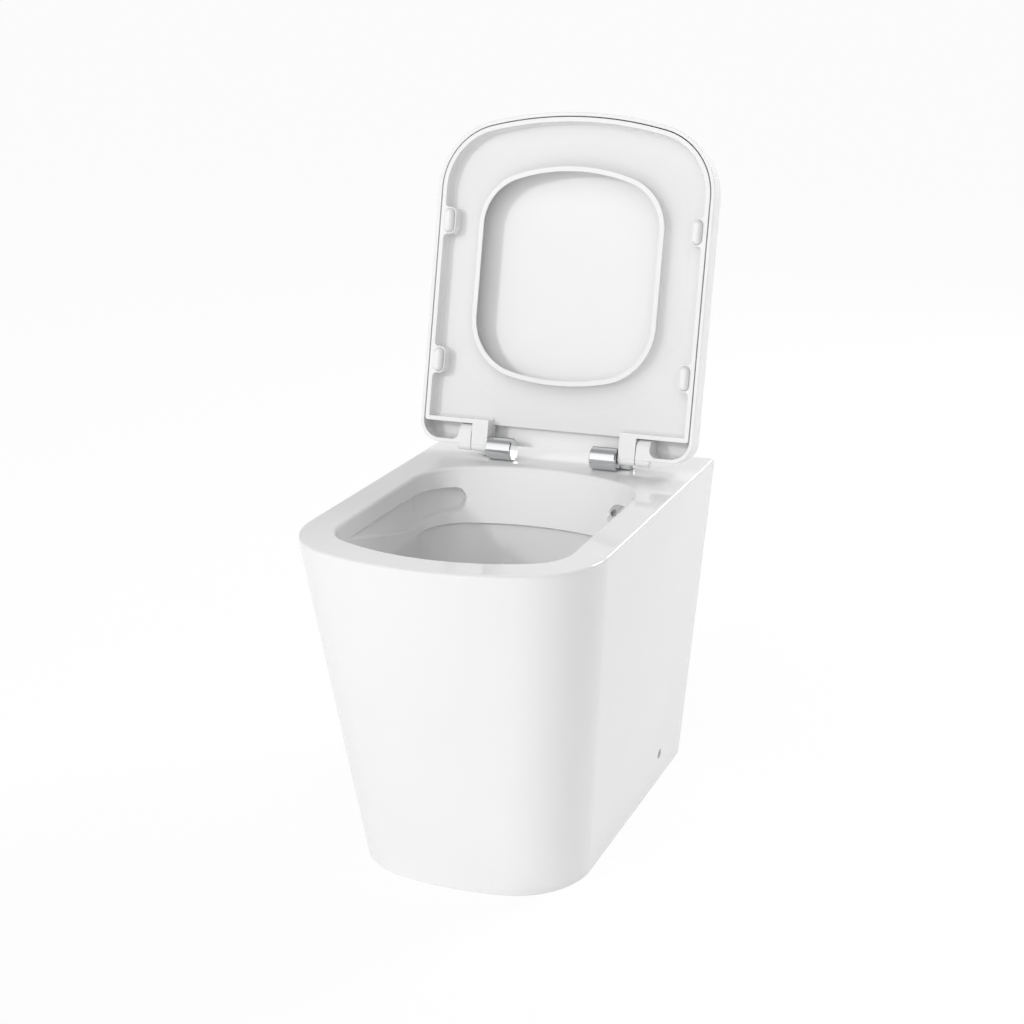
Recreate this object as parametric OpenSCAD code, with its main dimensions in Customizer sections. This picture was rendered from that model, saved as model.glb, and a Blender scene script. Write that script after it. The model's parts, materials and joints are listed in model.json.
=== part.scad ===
// Back to wall toilet: a rimless vitreous china pan with a wrap-over lid and seat on lift-off,
// soft-close hinges. Shown with lid and seat up. Millimetres, +Z up, front towards -Y.
// The origin lies on the floor, in the middle of the width and of the overall depth.

/* [Pan] */
// Width of the pan at the rim
pan_w = 353; // [330:1:380]
// Depth of the pan from its front to the wall
pan_d = 494; // [470:1:540]
// Height of the rim above the floor
pan_h = 400; // [390:1:430]
// Width of the pan at the floor
base_w = 270; // [240:1:300]
// How far the foot's front stands back from the rim's front
base_setback = 69; // [40:1:90]
// Plan radius of the front corners at the rim
pan_corner_r = 97; // [80:1:110]
// Plan radius of the front corners at the floor
base_corner_r = 88; // [70:1:100]
// Plan radius of the front at the rim
pan_front_r = 338; // [300:1:400]
// Plan radius of the front at the floor
base_front_r = 325; // [290:1:390]
// Radius that softens the rim's outer edge
pan_edge_r = 5; // [3:0.5:8]
// Thickness of the outer skin
pan_wall = 12; // [9:0.5:14]
// Thickness of the deck that carries the seat
deck_t = 18; // [14:0.5:22]

/* [Bowl] */
// Width of the rim beside the mouth
rim_side = 41.7; // [38:0.5:48]
// Width of the rim in front of the mouth
rim_front = 39.4; // [36:0.5:46]
// Distance from the wall to the mouth's back edge
rim_back = 115.7; // [112:0.5:125]
// Plan radius of the mouth's front corners
mouth_front_corner_r = 50; // [40:1:60]
// Plan radius of the mouth's back corners
mouth_back_corner_r = 66; // [55:1:75]
// Plan radius of the mouth's front edge
mouth_front_r = 250; // [220:1:320]
// Plan radius of the mouth's back edge
mouth_back_r = 225; // [200:1:300]
// Radius that softens the mouth's edge
mouth_edge_r = 6; // [4:0.5:8]
// Depth of the shelf below the rim
shelf_z = 63; // [56:1:72]
// How far the upper wall leans in at the sides
shelf_side_in = 12; // [8:0.5:16]
// How far the upper wall leans in at the back
shelf_back_in = 27; // [20:0.5:30]
// How far the wall steps back under the shelf
shelf_undercut = 4; // [2:0.5:6]
// Height of the sump's floor above the floor
sump_z = 92; // [88:1:100]
// Thickness of the bowl's wall
bowl_wall = 14; // [13:0.5:16]

/* [Flush and outlet] */
// Bore of the flush inlet in the china
inlet_d = 60; // [58:1:62]
// Depth of the flush inlet's axis below the rim
inlet_drop = 70; // [66:1:78]
// Outside diameter of the flush pipe that the inlet takes
flush_pipe_d = 50; // [48:0.5:52]
// Radius of the slots that let the flush water into the bowl
slot_r = 13; // [11:0.5:14]
// Depth of the slots' middle below the rim
slot_drop = 37; // [35:0.5:40]
// Outside diameter of the outlet spigot
outlet_d = 102; // [98:1:106]
// Height of the outlet's axis
outlet_z = 180; // [176:1:190]
// Length of the outlet spigot
outlet_l = 44; // [40:1:50]
// How far the outlet and inlet ends stand in from the wall
pipe_end_in = 15; // [10:1:20]
// Depth of the water seal in the trap
water_seal = 50; // [50:1:54]
// Bore of the trapway
trap_bore = 56; // [54:1:58]
// Thickness of the trap, inlet and spigot walls
pipe_wall = 9; // [8:0.5:10]

/* [Hinges] */
// Distance from the wall to the hinge axis
hinge_from_wall = 92; // [90:1:95]
// Height of the hinge axis above the deck
hinge_rise = 14; // [14:0.1:16]
// Angle through which lid and seat open, past upright
open_angle = 104.7; // [98:0.1:108]
// Distance between the two fixing holes in the deck
hole_spacing = 155; // [150:1:160]
// Distance from the wall to the fixing holes
hole_from_wall = 75; // [73:0.5:77]
// Diameter of the fixing holes
deck_hole_d = 14.4; // [14:0.1:16]
// Diameter of the chrome barrels
barrel_d = 27.4; // [26.6:0.1:27.6]
// Length of each chrome barrel
barrel_l = 32.8; // [32:0.1:34]
// Distance from the middle to each barrel's inner end
barrel_x = 50.5; // [48:0.5:52]
// Diameter of the round chrome bases
base_plate_d = 40; // [38:1:44]
// Thickness of the round chrome bases
base_plate_t = 7; // [6:0.1:7.2]
// Thickness of the gaskets under them
gasket_t = 1; // [0.6:0.1:1.2]
// Diameter of the hinge pins
pin_d = 6; // [5.6:0.1:6.6]
// Wall of the bushes that they turn in
bush_wall = 1; // [0.8:0.1:1.2]
// Diameter of the soft-close dampers
damper_d = 14; // [13:0.1:14.2]
// Diameter of the posts that the barrels stand on
post_d = 7; // [6.6:0.1:7.2]
// Travel of the release buttons
button_travel = 2.5; // [2:0.1:2.6]

/* [Lid and seat] */
// Width of the lid
lid_w = 350; // [340:1:356]
// Length of the lid, from its back edge to its front
lid_l = 405; // [396:1:412]
// Plan radius of the lid's front corners
lid_corner_r = 84; // [74:1:92]
// Plan radius of the lid's front
lid_front_r = 465; // [420:1:520]
// Plan radius of the lid's back corners
lid_back_r = 27; // [20:1:30]
// Overall thickness of the lid
lid_t = 35.5; // [34.5:0.5:38]
// Thickness of the lid's wall and of its top
lid_wall = 4.6; // [4:0.1:5]
// Gap between the seat and the lid's wall
seat_gap = 1.2; // [0.8:0.1:1.6]
// Height of the seat's and lid's lower edge above the rim
seat_lift = 7.5; // [6.5:0.5:8]
// Thickness of the seat
seat_t = 25.5; // [24:0.5:26]
// Thickness of the seat's outer wall
seat_wall = 5.5; // [4.5:0.1:6.5]
// Depth of the hollow under the seat
seat_hollow = 17; // [14:0.5:18]
// Distance from the hinge axis to the seat's back wall
seat_back = 27.2; // [27.2:0.1:29]
// Width of the seat's opening
opening_w = 222.8; // [210:1:232]
// Length of the seat's opening
opening_l = 249.3; // [240:1:260]
// Width of the seat behind its opening
seat_rear = 60.2; // [56:0.5:66]
// Thickness of the ring wall round the opening
ring_wall = 6.2; // [5:0.1:7]
// How much deeper the hollow is beside the ring wall
dish_deep = 4; // [2:0.5:4.5]
// Width of the seat's ears
ear_w = 21; // [19:0.5:21]
// Width of the lid's knuckles
knuckle_w = 17; // [15:0.5:17]
// Length of the buffers under the seat
buffer_l = 29; // [26:1:32]
// Width of the buffers under the seat
buffer_w = 13; // [11:0.5:14]
// Distance from the hinge axis to the rear buffers
rear_buffer_s = 102; // [92:1:110]
// Distance from the hinge axis to the front buffers
front_buffer_s = 274; // [262:1:284]
// Diameter of the small buffers inside the lid
lid_buffer_d = 14; // [12:1:16]
// Distance from the lid's front to the small buffers
lid_buffer_back = 34; // [30:1:38]
// Distance from the lid's side to the small buffers
lid_buffer_in = 74; // [64:1:84]

/* [Floor fixings] */
// Height of the side fixing holes
side_hole_z = 41; // [38:1:46]
// Distance from the wall to the side fixing holes
side_hole_from_wall = 95; // [85:1:105]
// Diameter of the side fixing holes
side_hole_d = 13.2; // [12:0.2:14]
// Diameter of the side screws
side_screw_d = 6; // [5:0.5:6.5]
// Thickness of the floor brackets
bracket_t = 3; // [2:0.5:4]
// Length of the floor brackets
bracket_l = 56; // [50:1:64]
// Diameter of the brackets' floor holes
floor_hole_d = 8.4; // [6.4:0.2:9]
// Distance between a bracket's two floor holes
floor_hole_pitch = 36; // [30:1:38]

/* [Hidden] */

china = [0.96, 0.96, 0.95];
duroplast = [0.98, 0.98, 0.97];
chrome = [0.78, 0.79, 0.8];
steel = [0.6, 0.61, 0.62];
rubber = [0.12, 0.12, 0.12];
nylon = [0.86, 0.86, 0.84];

running = 0.05;    // radial clearance of a pin in its bore
loose = 0.3;       // clearance between pieces that only lie near each other
sleeve_bulge = 1.6;   // how far the squeezed anchor sleeve bulges under the deck
eps = 0.5;         // how far a cutter runs past a face
flat = 1000000;    // plan radius of an edge that is drawn straight
arc_n = 4;         // steps on each long arc of an outline
corner_n = 6;      // steps on each corner of an outline
fine = 48;         // sides of round pieces

// places in the pan's own frame, whose origin is the middle of the pan's footprint
wall_y = pan_d / 2;
front_y = -pan_d / 2;
hinge_y = wall_y - hinge_from_wall;
hinge_z = pan_h + hinge_rise;
hole_x = hole_spacing / 2;
hole_y = wall_y - hole_from_wall;
shelf_level = pan_h - shelf_z;
inlet_z = pan_h - inlet_drop;
feed_z = pan_h - slot_drop;
// local height of the lid's and seat's lower edge, measured from the hinge axis
low_edge = pan_h + seat_lift - hinge_z;
lean = open_angle - 90;
// how far the open lid reaches behind the hinge axis
lid_round = 11;
lid_side_t = lid_t - lid_round;
lid_back_s = 1.6;
lid_front_s = lid_back_s + lid_l;
reach_s = lid_front_s - lid_round;
reach_back = reach_s * sin(lean) + (low_edge + lid_t) * cos(lean);
reach_front = front_y + base_setback * pan_edge_r / pan_h;
centre_y = (reach_front + hinge_y + reach_back) / 2;

// ---- outlines and lofts

// An outline is [half width, front y, back y, front corner radius, front radius,
// back corner radius, back radius]. This gives its points, drawn in by d, starting at the front.
function outline(o, d = 0) =
  let (a = o[0] - d, yf = o[1] + d, yb = o[2] - d)
  let (rf = max(o[3] - d, 1), ff = o[4] - d, rb = max(o[5] - d, 1), bb = o[6] - d)
  let (kf = sqrt(pow(ff - rf, 2) - pow(a - rf, 2)), kb = sqrt(pow(bb - rb, 2) - pow(a - rb, 2)))
  let (af = atan2(kf, a - rf), ab = atan2(kb, a - rb))
  let (front = [for (i = [0:arc_n]) let (t = -90 + (90 - af) * i / arc_n)
    [ff * cos(t), yf + ff + ff * sin(t)]])
  let (corner_f = [for (i = [1:corner_n]) let (t = -af + af * i / corner_n)
    [a - rf + rf * cos(t), yf + ff - kf + rf * sin(t)]])
  let (corner_b = [for (i = [0:corner_n]) let (t = ab * i / corner_n)
    [a - rb + rb * cos(t), yb - bb + kb + rb * sin(t)]])
  let (back = [for (i = [1:arc_n]) let (t = ab + (90 - ab) * i / arc_n)
    [bb * cos(t), yb - bb + bb * sin(t)]])
  let (right = concat(front, corner_f, corner_b, back), m = len(right))
  concat(right, [for (i = [m - 2:-1:1]) [-right[i][0], right[i][1]]]);

function at_z(points, z) = [for (p = points) [p[0], p[1], z]];
function mix(a, b, k) = a + (b - a) * k;

// Skins a stack of rings that have the same number of points and run anticlockwise, upwards.
module loft(rings) {
  n = len(rings[0]);
  k = len(rings);
  sides = [for (j = [0:k - 2]) for (i = [0:n - 1])
    let (a = j * n + i, b = j * n + (i + 1) % n, c = b + n, e = a + n)
    each [[a, e, c], [a, c, b]]];
  bottom = [[for (i = [0:n - 1]) i]];
  top = [[for (i = [n - 1:-1:0]) (k - 1) * n + i]];
  polyhedron(points = [for (r = rings) each r], faces = concat(bottom, sides, top), convexity = 8);
}

// Rings for a tube of given radii along a path in space; side is a fixed direction across the path.
function ring_at(p, dir, side, r, n) =
  let (u = side / norm(side), w = cross(dir, u) / norm(cross(dir, u)))
  [for (i = [0:n - 1]) p + r * (cos(360 * i / n) * u + sin(360 * i / n) * w)];
function tube_rings(path, radii, side, n) =
  [for (i = [0:len(path) - 1])
    ring_at(path[i], path[min(i + 1, len(path) - 1)] - path[max(i - 1, 0)], side, radii[i], n)];

module along_x(x0, x1, r) {
  translate([x0, 0, 0]) rotate([0, 90, 0]) cylinder(h = x1 - x0, r = r, $fn = fine);
}
module along_y(y0, y1, r) {
  translate([0, y0, 0]) rotate([-90, 0, 0]) cylinder(h = y1 - y0, r = r, $fn = fine);
}
module rounded_rect(w, l, r) {
  square([w, l - 2 * r], center = true);
  square([w - 2 * r, l], center = true);
  for (x = [-1, 1], y = [-1, 1])
    translate([x * (w / 2 - r), y * (l / 2 - r)]) circle(r = r, $fn = 32);
}
// side -1 is the left as seen from the front, side 1 the right
module on_side(side) {
  if (side < 0) mirror([1, 0, 0]) children();
  else children();
}
// moves a piece that is drawn in the pan's own frame into the model's frame
module placed() {
  translate([0, -centre_y, 0]) children();
}
// lid and seat are drawn closed, with the hinge axis as X; this swings them open in their place
module opened() {
  placed() translate([0, hinge_y, hinge_z]) rotate([-open_angle, 0, 0]) children();
}
module on_axis() {
  placed() translate([0, hinge_y, hinge_z]) children();
}

// ---- pan

function pan_plan(z) =
  let (k = z / pan_h)
  [mix(base_w, pan_w, k) / 2, front_y + base_setback * (1 - k), wall_y,
    mix(base_corner_r, pan_corner_r, k), mix(base_front_r, pan_front_r, k), 3, flat];

module pan_skin() {
  foot_edge = 2;
  loft(concat(
    [at_z(outline(pan_plan(0), foot_edge), 0), at_z(outline(pan_plan(foot_edge)), foot_edge)],
    [for (a = [0, 30, 60, 90])
      let (z = pan_h - pan_edge_r + pan_edge_r * sin(a))
      at_z(outline(pan_plan(z), pan_edge_r * (1 - cos(a))), z)]));
}

// the space inside the skirt, open at the floor and at the wall
module skirt_space() {
  function open_back(o) = [o[0], o[1], wall_y + 2 * pan_wall, o[3], o[4], o[5], o[6]];
  loft([for (z = [-eps, pan_h])
    at_z(outline(open_back(pan_plan(z)), pan_wall), z)]);
}

// what lies above the underside of the deck, or below it
module over_deck() {
  translate([-pan_w, -pan_d, pan_h - deck_t]) cube([2 * pan_w, 2 * pan_d, deck_t + eps]);
}
module under_deck() {
  translate([-pan_w, -pan_d, -eps]) cube([2 * pan_w, 2 * pan_d, pan_h - deck_t + eps]);
}

mouth = [pan_w / 2 - rim_side, front_y + rim_front, wall_y - rim_back,
  mouth_front_corner_r, mouth_front_r, mouth_back_corner_r, mouth_back_r];
shelf = [mouth[0] - shelf_side_in, mouth[1] + shelf_side_in, mouth[2] - shelf_back_in,
  mouth_front_corner_r + 2, mouth_front_r, mouth_back_corner_r - 12, mouth_back_r + 40];

// the sump draws in evenly from the shelf to a round end over the trap
sump_end_r = trap_bore / 2 - 2;
sump_end_s = 111;      // from the hinge axis forward to the middle of the sump's end
sump_end_y = hinge_y - sump_end_s;
sump_top = [shelf[0] + shelf_undercut, shelf[1] - shelf_undercut, shelf[2] + shelf_undercut,
  shelf[3], shelf[4], shelf[5], shelf[6]];
function sump_plan(k) =
  let (e = sin(90 * k), b = pow(k, 2.2), a = mix(sump_end_r, sump_top[0], e), least = a + 3 * min(1, 20 * k))
  [a, mix(sump_end_y - sump_end_r, sump_top[1], e),
    mix(sump_end_y + sump_end_r, sump_top[2], e),
    mix(sump_end_r - 2, sump_top[3], e), max(mix(sump_end_r, sump_top[4], b), least),
    mix(sump_end_r - 2, sump_top[5], e), max(mix(sump_end_r, sump_top[6], b), least)];
sump_steps = 8;

// rings of the bowl's inner face from the sump's floor up, drawn out by the wall's thickness w
function bowl_rings(w) = concat(
  [for (i = [0:sump_steps])
    let (k = i / sump_steps, rise = pow(1 - cos(90 * k), 0.85))
    let (z = mix(sump_z, shelf_level - shelf_undercut, rise) - w * (1 - k))
    at_z(outline(sump_plan(k), -w), z)],
  [at_z(outline(shelf, -w), shelf_level)],
  [for (k = [0.35, 0.7, 1])
    at_z(outline([for (i = [0:6]) mix(shelf[i], mouth[i], k)], -w),
      mix(shelf_level, pan_h - mouth_edge_r, k))]);

module bowl_space() {
  loft(concat(bowl_rings(0),
    [for (a = [30, 60, 90])
      at_z(outline(mouth, -mouth_edge_r * (1 - cos(a))), pan_h - mouth_edge_r + mouth_edge_r * sin(a))],
    [at_z(outline(mouth, -mouth_edge_r), pan_h + eps)]));
}

module bowl_body() {
  loft(bowl_rings(bowl_wall));
}

// trapway: down from the sump, round the dip, up over the weir and on to the outlet
outlet_end = wall_y - pipe_end_in;
outlet_start = outlet_end - outlet_l;
outlet_bore_r = outlet_d / 2 - pipe_wall;
bend_r = trap_bore / 2 + pipe_wall + 5;
fall = 45;      // slope of the way down to the dip
climb = 70;     // slope of the way up to the weir
weir_z = outlet_z + 10;
climb_l = (water_seal + trap_bore - 2 * bend_r * (1 - cos(climb))) / sin(climb);
dip_y = sump_end_y + 6 + bend_r * sin(fall);
dip_z = weir_z - water_seal - trap_bore;
weir_y = dip_y + 2 * bend_r * sin(climb) + climb_l * cos(climb);
trap_start = [0, sump_end_y + 6, dip_z + bend_r * (1 - cos(fall))];
trap_path = concat(
  [trap_start + 13 * [0, -cos(fall), sin(fall)]],
  [for (a = [-fall:(fall + climb) / 7:climb + 0.1]) [0, dip_y + bend_r * sin(a), dip_z + bend_r * (1 - cos(a))]],
  [for (a = [climb:-climb / 5:-0.1]) [0, weir_y - bend_r * sin(a), weir_z - bend_r * (1 - cos(a))]],
  [[0, max(outlet_start, weir_y) + 3, weir_z]]);

module trap_tube(wall) {
  loft(tube_rings(trap_path, [for (p = trap_path) trap_bore / 2 + wall], [1, 0, 0], 20));
}

// flush water: inlet, cross channel behind the bowl, and a slot at each back corner
// that feeds a channel along the bowl's side
feed_y = hole_y - deck_hole_d / 2 - sleeve_bulge - slot_r - pipe_wall - 1;
slot_x = mouth[0] - 39;
// each station of the side channel: distance in front of the feed, distance inside the wall, height
// above the feed, radius
wall_at_feed = mix(shelf[0], mouth[0], (feed_z - shelf_level) / (shelf_z - mouth_edge_r));
stations = [[0, wall_at_feed - slot_x, 0, slot_r], [34, wall_at_feed - slot_x - 5, 0, slot_r],
  [62, 19, -1, 19], [95, 21, -2, 25], [135, 21, -1, 25], [180, 17, 3, 20], [225, 11, 8, 12], [262, 6, 12, 5]];
channel_path = [for (s = stations) [wall_at_feed - s[1], feed_y - s[0], feed_z + s[2]]];
channel_radii = [for (s = stations) s[3]];

module feed_channel() {
  on_side(-1) loft(tube_rings(channel_path, channel_radii, [0, 0, 1], 16));
  loft(tube_rings(channel_path, channel_radii, [0, 0, 1], 16));
}

// The casting is one piece of china. It is drawn as six solids that meet face to face.
module outlet_tube() {
  translate([0, 0, outlet_z]) along_y(outlet_start - pipe_wall, outlet_end, outlet_d / 2);
}
module water_ways() {
  trap_tube(0);
  translate([0, 0, outlet_z]) along_y(outlet_start, outlet_end + eps, outlet_bore_r);
}
module flush_ways() {
  translate([0, 0, inlet_z]) along_y(feed_y + 4, outlet_end + eps, inlet_d / 2);
  translate([0, feed_y, feed_z]) along_x(-slot_x, slot_x, slot_r);
  translate([-20, feed_y + 5, inlet_z]) cube([40, 14, feed_z - inlet_z]);
  feed_channel();
}

module pan_rim() {
  color(china) placed() difference() {
    intersection() {
      pan_skin();
      over_deck();
    }
    bowl_space();
    feed_channel();
    for (x = [-hole_x, hole_x])
      translate([x, hole_y, pan_h - deck_t - eps]) cylinder(h = deck_t + 2 * eps, d = deck_hole_d, $fn = fine);
  }
}

module pan_skirt() {
  color(china) placed() difference() {
    intersection() {
      pan_skin();
      under_deck();
    }
    skirt_space();
    translate([0, wall_y - side_hole_from_wall, side_hole_z])
      along_x(-pan_w / 2, pan_w / 2, side_hole_d / 2);
  }
}

module pan_bowl() {
  color(china) placed() difference() {
    intersection() {
      bowl_body();
      under_deck();
    }
    bowl_space();
    water_ways();
    flush_ways();
  }
}

module pan_trap() {
  color(china) placed() difference() {
    trap_tube(pipe_wall);
    bowl_body();
    outlet_tube();
    water_ways();
  }
}

module pan_outlet() {
  color(china) placed() difference() {
    outlet_tube();
    water_ways();
  }
}

module pan_inlet() {
  color(china) placed() difference() {
    intersection() {
      union() {
        translate([0, 0, inlet_z]) along_y(feed_y - 4, outlet_end, inlet_d / 2 + pipe_wall);
        translate([0, feed_y, feed_z]) along_x(-slot_x - 6, slot_x + 6, slot_r + pipe_wall);
      }
      under_deck();
    }
    bowl_body();
    flush_ways();
  }
}

// rubber sleeve that seals the flush pipe in the inlet
seal_l = 26;
seal_lip = 4;
module inlet_seal() {
  color(rubber) placed() translate([0, 0, inlet_z]) difference() {
    union() {
      along_y(outlet_end - seal_l, outlet_end + seal_lip, inlet_d / 2 - running);
      along_y(outlet_end, outlet_end + seal_lip, inlet_d / 2 + pipe_wall - 2);
    }
    along_y(outlet_end - seal_l - eps, outlet_end + seal_lip + eps, flush_pipe_d / 2 + 0.3);
  }
}

// ---- lid and seat, drawn closed with the hinge axis as X; s runs forward from the axis

lid_plan = [lid_w / 2, -lid_front_s, -lid_back_s, lid_corner_r, lid_front_r, lid_back_r, flat];
seat_in = lid_wall + seat_gap;
seat_plan = [lid_w / 2 - seat_in, -(lid_front_s - seat_in), -seat_back,
  lid_corner_r - seat_in, lid_front_r - seat_in, 4, flat];
opening_back_s = seat_back + seat_rear;
opening_plan = [opening_w / 2, -(opening_back_s + opening_l), -opening_back_s, 58, 225, 66, 280];

ear_x = barrel_x + barrel_l + 1;
knuckle_x = ear_x + ear_w + 0.7;
knuckle_end = knuckle_x + knuckle_w;
bush_r = pin_d / 2 + bush_wall;
lug_r = bush_r + 1.7;
cheek_r = 13;
cheek_s = 13.8;
lug_fillet = 9;        // fillet between a knuckle and the lid's back wall
lid_floor = low_edge + lid_t - lid_wall;

// side profile of an ear or knuckle: a cheek level with the lower edge that ends in line with the
// lid's back, and a small lug round the pin
module lug_profile() {
  circle(r = lug_r, $fn = 32);
  hull() {
    translate([cheek_s, low_edge + cheek_r]) circle(r = cheek_r, $fn = 32);
    translate([lid_back_s, low_edge]) square([cheek_s - lid_back_s, cheek_r]);
  }
}
// stands a profile drawn as [s, height] up between x0 and x1
module across(x0, x1) {
  translate([x0, 0, 0]) rotate([90, 0, 90]) linear_extrude(x1 - x0) mirror([1, 0, 0]) children();
}

module lid_shell() {
  difference() {
    loft([
      at_z(outline(lid_plan, 0.8), low_edge),
      at_z(outline(lid_plan, 0), low_edge + 0.8),
      at_z(outline(lid_plan, 0), low_edge + lid_side_t),
      for (a = [30, 60, 90])
        at_z(outline(lid_plan, lid_round * (1 - cos(a))), low_edge + lid_side_t + lid_round * sin(a))]);
    loft([
      at_z(outline(lid_plan, lid_wall), low_edge - eps),
      at_z(outline(lid_plan, lid_wall + 0.3), low_edge + lid_side_t - 1),
      at_z(outline(lid_plan, lid_wall + 2), low_edge + lid_side_t + 4),
      at_z(outline(lid_plan, lid_wall + 7), lid_floor)]);
    // open at the back between the knuckles, for the ears and barrels
    translate([-knuckle_x, -lid_back_s - lid_wall - 12, low_edge - eps])
      cube([2 * knuckle_x, lid_wall + 20, lid_floor - low_edge + eps]);
  }
}

module lid_knuckle(x0, x1) {
  across(x0, x1) {
    lug_profile();
    translate([lid_back_s + 5, low_edge + cheek_r])
      square([cheek_s + cheek_r - lid_back_s - 5, lid_floor - low_edge - cheek_r + 1]);
  }
  inner_s = lid_back_s + lid_wall - 0.5;
  translate([x1 - 0.5, -inner_s - lug_fillet, low_edge]) linear_extrude(lid_floor - low_edge + 1) difference() {
    square([lug_fillet, lug_fillet]);
    translate([lug_fillet, 0]) circle(r = lug_fillet - 0.5, $fn = 32);
  }
}

flat_half = pin_d / 2 - 0.7;   // half the width across a pin's flats

// bore for a pin whose flats turn with the piece
module keyed_bore(x0, x1) {
  intersection() {
    along_x(x0, x1, pin_d / 2 + running);
    translate([x0, -pin_d, -flat_half - running]) cube([x1 - x0, 2 * pin_d, 2 * (flat_half + running)]);
  }
}
pin_end = knuckle_end - 2;

module lid() {
  color(duroplast) opened() difference() {
    union() {
      lid_shell();
      for (side = [-1, 1]) on_side(side) lid_knuckle(knuckle_x, knuckle_end);
    }
    // the left knuckle turns on a bush, the right one is keyed to the damped pin
    on_side(-1) along_x(knuckle_x - eps, pin_end + running, bush_r + running);
    keyed_bore(knuckle_x - eps, pin_end + running);
  }
}

buffer_x = seat_plan[0] - seat_wall - buffer_w / 2;
buffer_boss = 3;
buffer_in = 4;

module at_buffer(side, s, z) {
  translate([side * buffer_x, -s, z]) children();
}

module seat_hollow_space() {
  difference() {
    union() {
      loft([
        at_z(outline(seat_plan, seat_wall), low_edge - eps),
        at_z(outline(seat_plan, seat_wall + 0.5), low_edge + seat_hollow - 3),
        at_z(outline(seat_plan, seat_wall + 3), low_edge + seat_hollow)]);
      // shallow dish that deepens towards the ring
      loft([
        at_z(outline(opening_plan, -34), low_edge + seat_hollow - 0.1),
        at_z(outline(opening_plan, -ring_wall - 2), low_edge + seat_hollow + dish_deep)]);
    }
    loft([
      at_z(outline(opening_plan, -ring_wall), low_edge - 2 * eps),
      at_z(outline(opening_plan, -ring_wall), low_edge + seat_t)]);
    for (side = [-1, 1], s = [rear_buffer_s, front_buffer_s])
      at_buffer(side, s, low_edge - 2 * eps) linear_extrude(seat_t)
         rounded_rect(buffer_w + 2 * buffer_boss, buffer_l + 2 * buffer_boss, 5);
  }
}

module seat_ear(x0, x1) {
  across(x0, x1) {
    lug_profile();
    translate([cheek_s, low_edge]) square([seat_back + seat_wall - cheek_s, 2 * cheek_r - 2]);
  }
}

module seat() {
  color(duroplast) opened() difference() {
    union() {
      difference() {
        loft([
          at_z(outline(seat_plan, 0.8), low_edge),
          at_z(outline(seat_plan, 0), low_edge + 0.8),
          at_z(outline(seat_plan, 0), low_edge + seat_t - 9),
          at_z(outline(seat_plan, 2), low_edge + seat_t - 4.2),
          at_z(outline(seat_plan, 6), low_edge + seat_t - 1.2),
          at_z(outline(seat_plan, 12), low_edge + seat_t)]);
        seat_hollow_space();
        // no back wall between the ears
        translate([-ear_x, -seat_back - seat_wall - 3.5, low_edge - eps])
          cube([2 * ear_x, seat_wall + 7, seat_hollow + eps]);
      }
      for (side = [-1, 1]) on_side(side) seat_ear(ear_x, ear_x + ear_w);
    }
    loft([
      at_z(outline(opening_plan, 0), low_edge - eps),
      at_z(outline(opening_plan, 0), low_edge + seat_t - 10),
      at_z(outline(opening_plan, -2.5), low_edge + seat_t - 4.5),
      at_z(outline(opening_plan, -7), low_edge + seat_t - 1),
      at_z(outline(opening_plan, -13), low_edge + seat_t + 0.2)]);
    for (side = [-1, 1], s = [rear_buffer_s, front_buffer_s])
      at_buffer(side, s, low_edge - eps) linear_extrude(buffer_in + eps)
        rounded_rect(buffer_w, buffer_l, 4);
    // the left ear is keyed to the damped pin, the right one turns on a bush
    on_side(-1) keyed_bore(ear_x - eps, ear_x + ear_w + eps);
    along_x(ear_x - eps, ear_x + ear_w + eps, bush_r + running);
  }
}

// rubber foot, let into the seat's hollow; it meets the rim when the seat is down
module seat_buffer(side, s) {
  foot = seat_lift - loose;
  soft_edge = 1.2;
  color(nylon) opened() at_buffer(side, s, low_edge - foot) {
    translate([0, 0, soft_edge]) linear_extrude(foot + buffer_in - soft_edge)
      rounded_rect(buffer_w - 0.4, buffer_l - 0.4, 4);
    linear_extrude(soft_edge) rounded_rect(buffer_w - 0.4 - soft_edge, buffer_l - 0.4 - soft_edge, 3.4);
  }
}

lid_buffer_s = lid_front_s - lid_buffer_back;
lid_buffer_x = lid_w / 2 - lid_buffer_in;
module lid_buffer(side) {
  gap = lid_floor - low_edge - seat_t;
  color(nylon) opened() translate([side * lid_buffer_x, -lid_buffer_s, lid_floor - gap + loose])
    cylinder(h = gap - loose, d = lid_buffer_d, $fn = fine);
}

// ---- hinges, drawn for the right side with the hinge axis as X

barrel_r = barrel_d / 2;
barrel_end = barrel_x + barrel_l;
damper_r = damper_d / 2;
button_t = 3.5;
damper_x = barrel_x + button_t + button_travel + 1;
damper_end = barrel_end - 3;
button_r = barrel_r - 2.5;
stem_r = 1.4;
stem_y = damper_r + 0.4 + stem_r + 0.3;
stem_gap = 1.4;        // from a button's stem to the clip that it spreads
post_x = barrel_x + 20.5;
post_r = post_d / 2;
boss_r = post_r + 3.7;
boss_low = gasket_t + base_plate_t + loose - hinge_rise;
boss_high = 5.5;
post_high = 3.5;
groove_r = post_r - 1;
groove_h = 3.2;
clip_t = 2;
clip_r = groove_r + 2.3;
post_y = damper_r + clip_r + 2 * loose;

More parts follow.
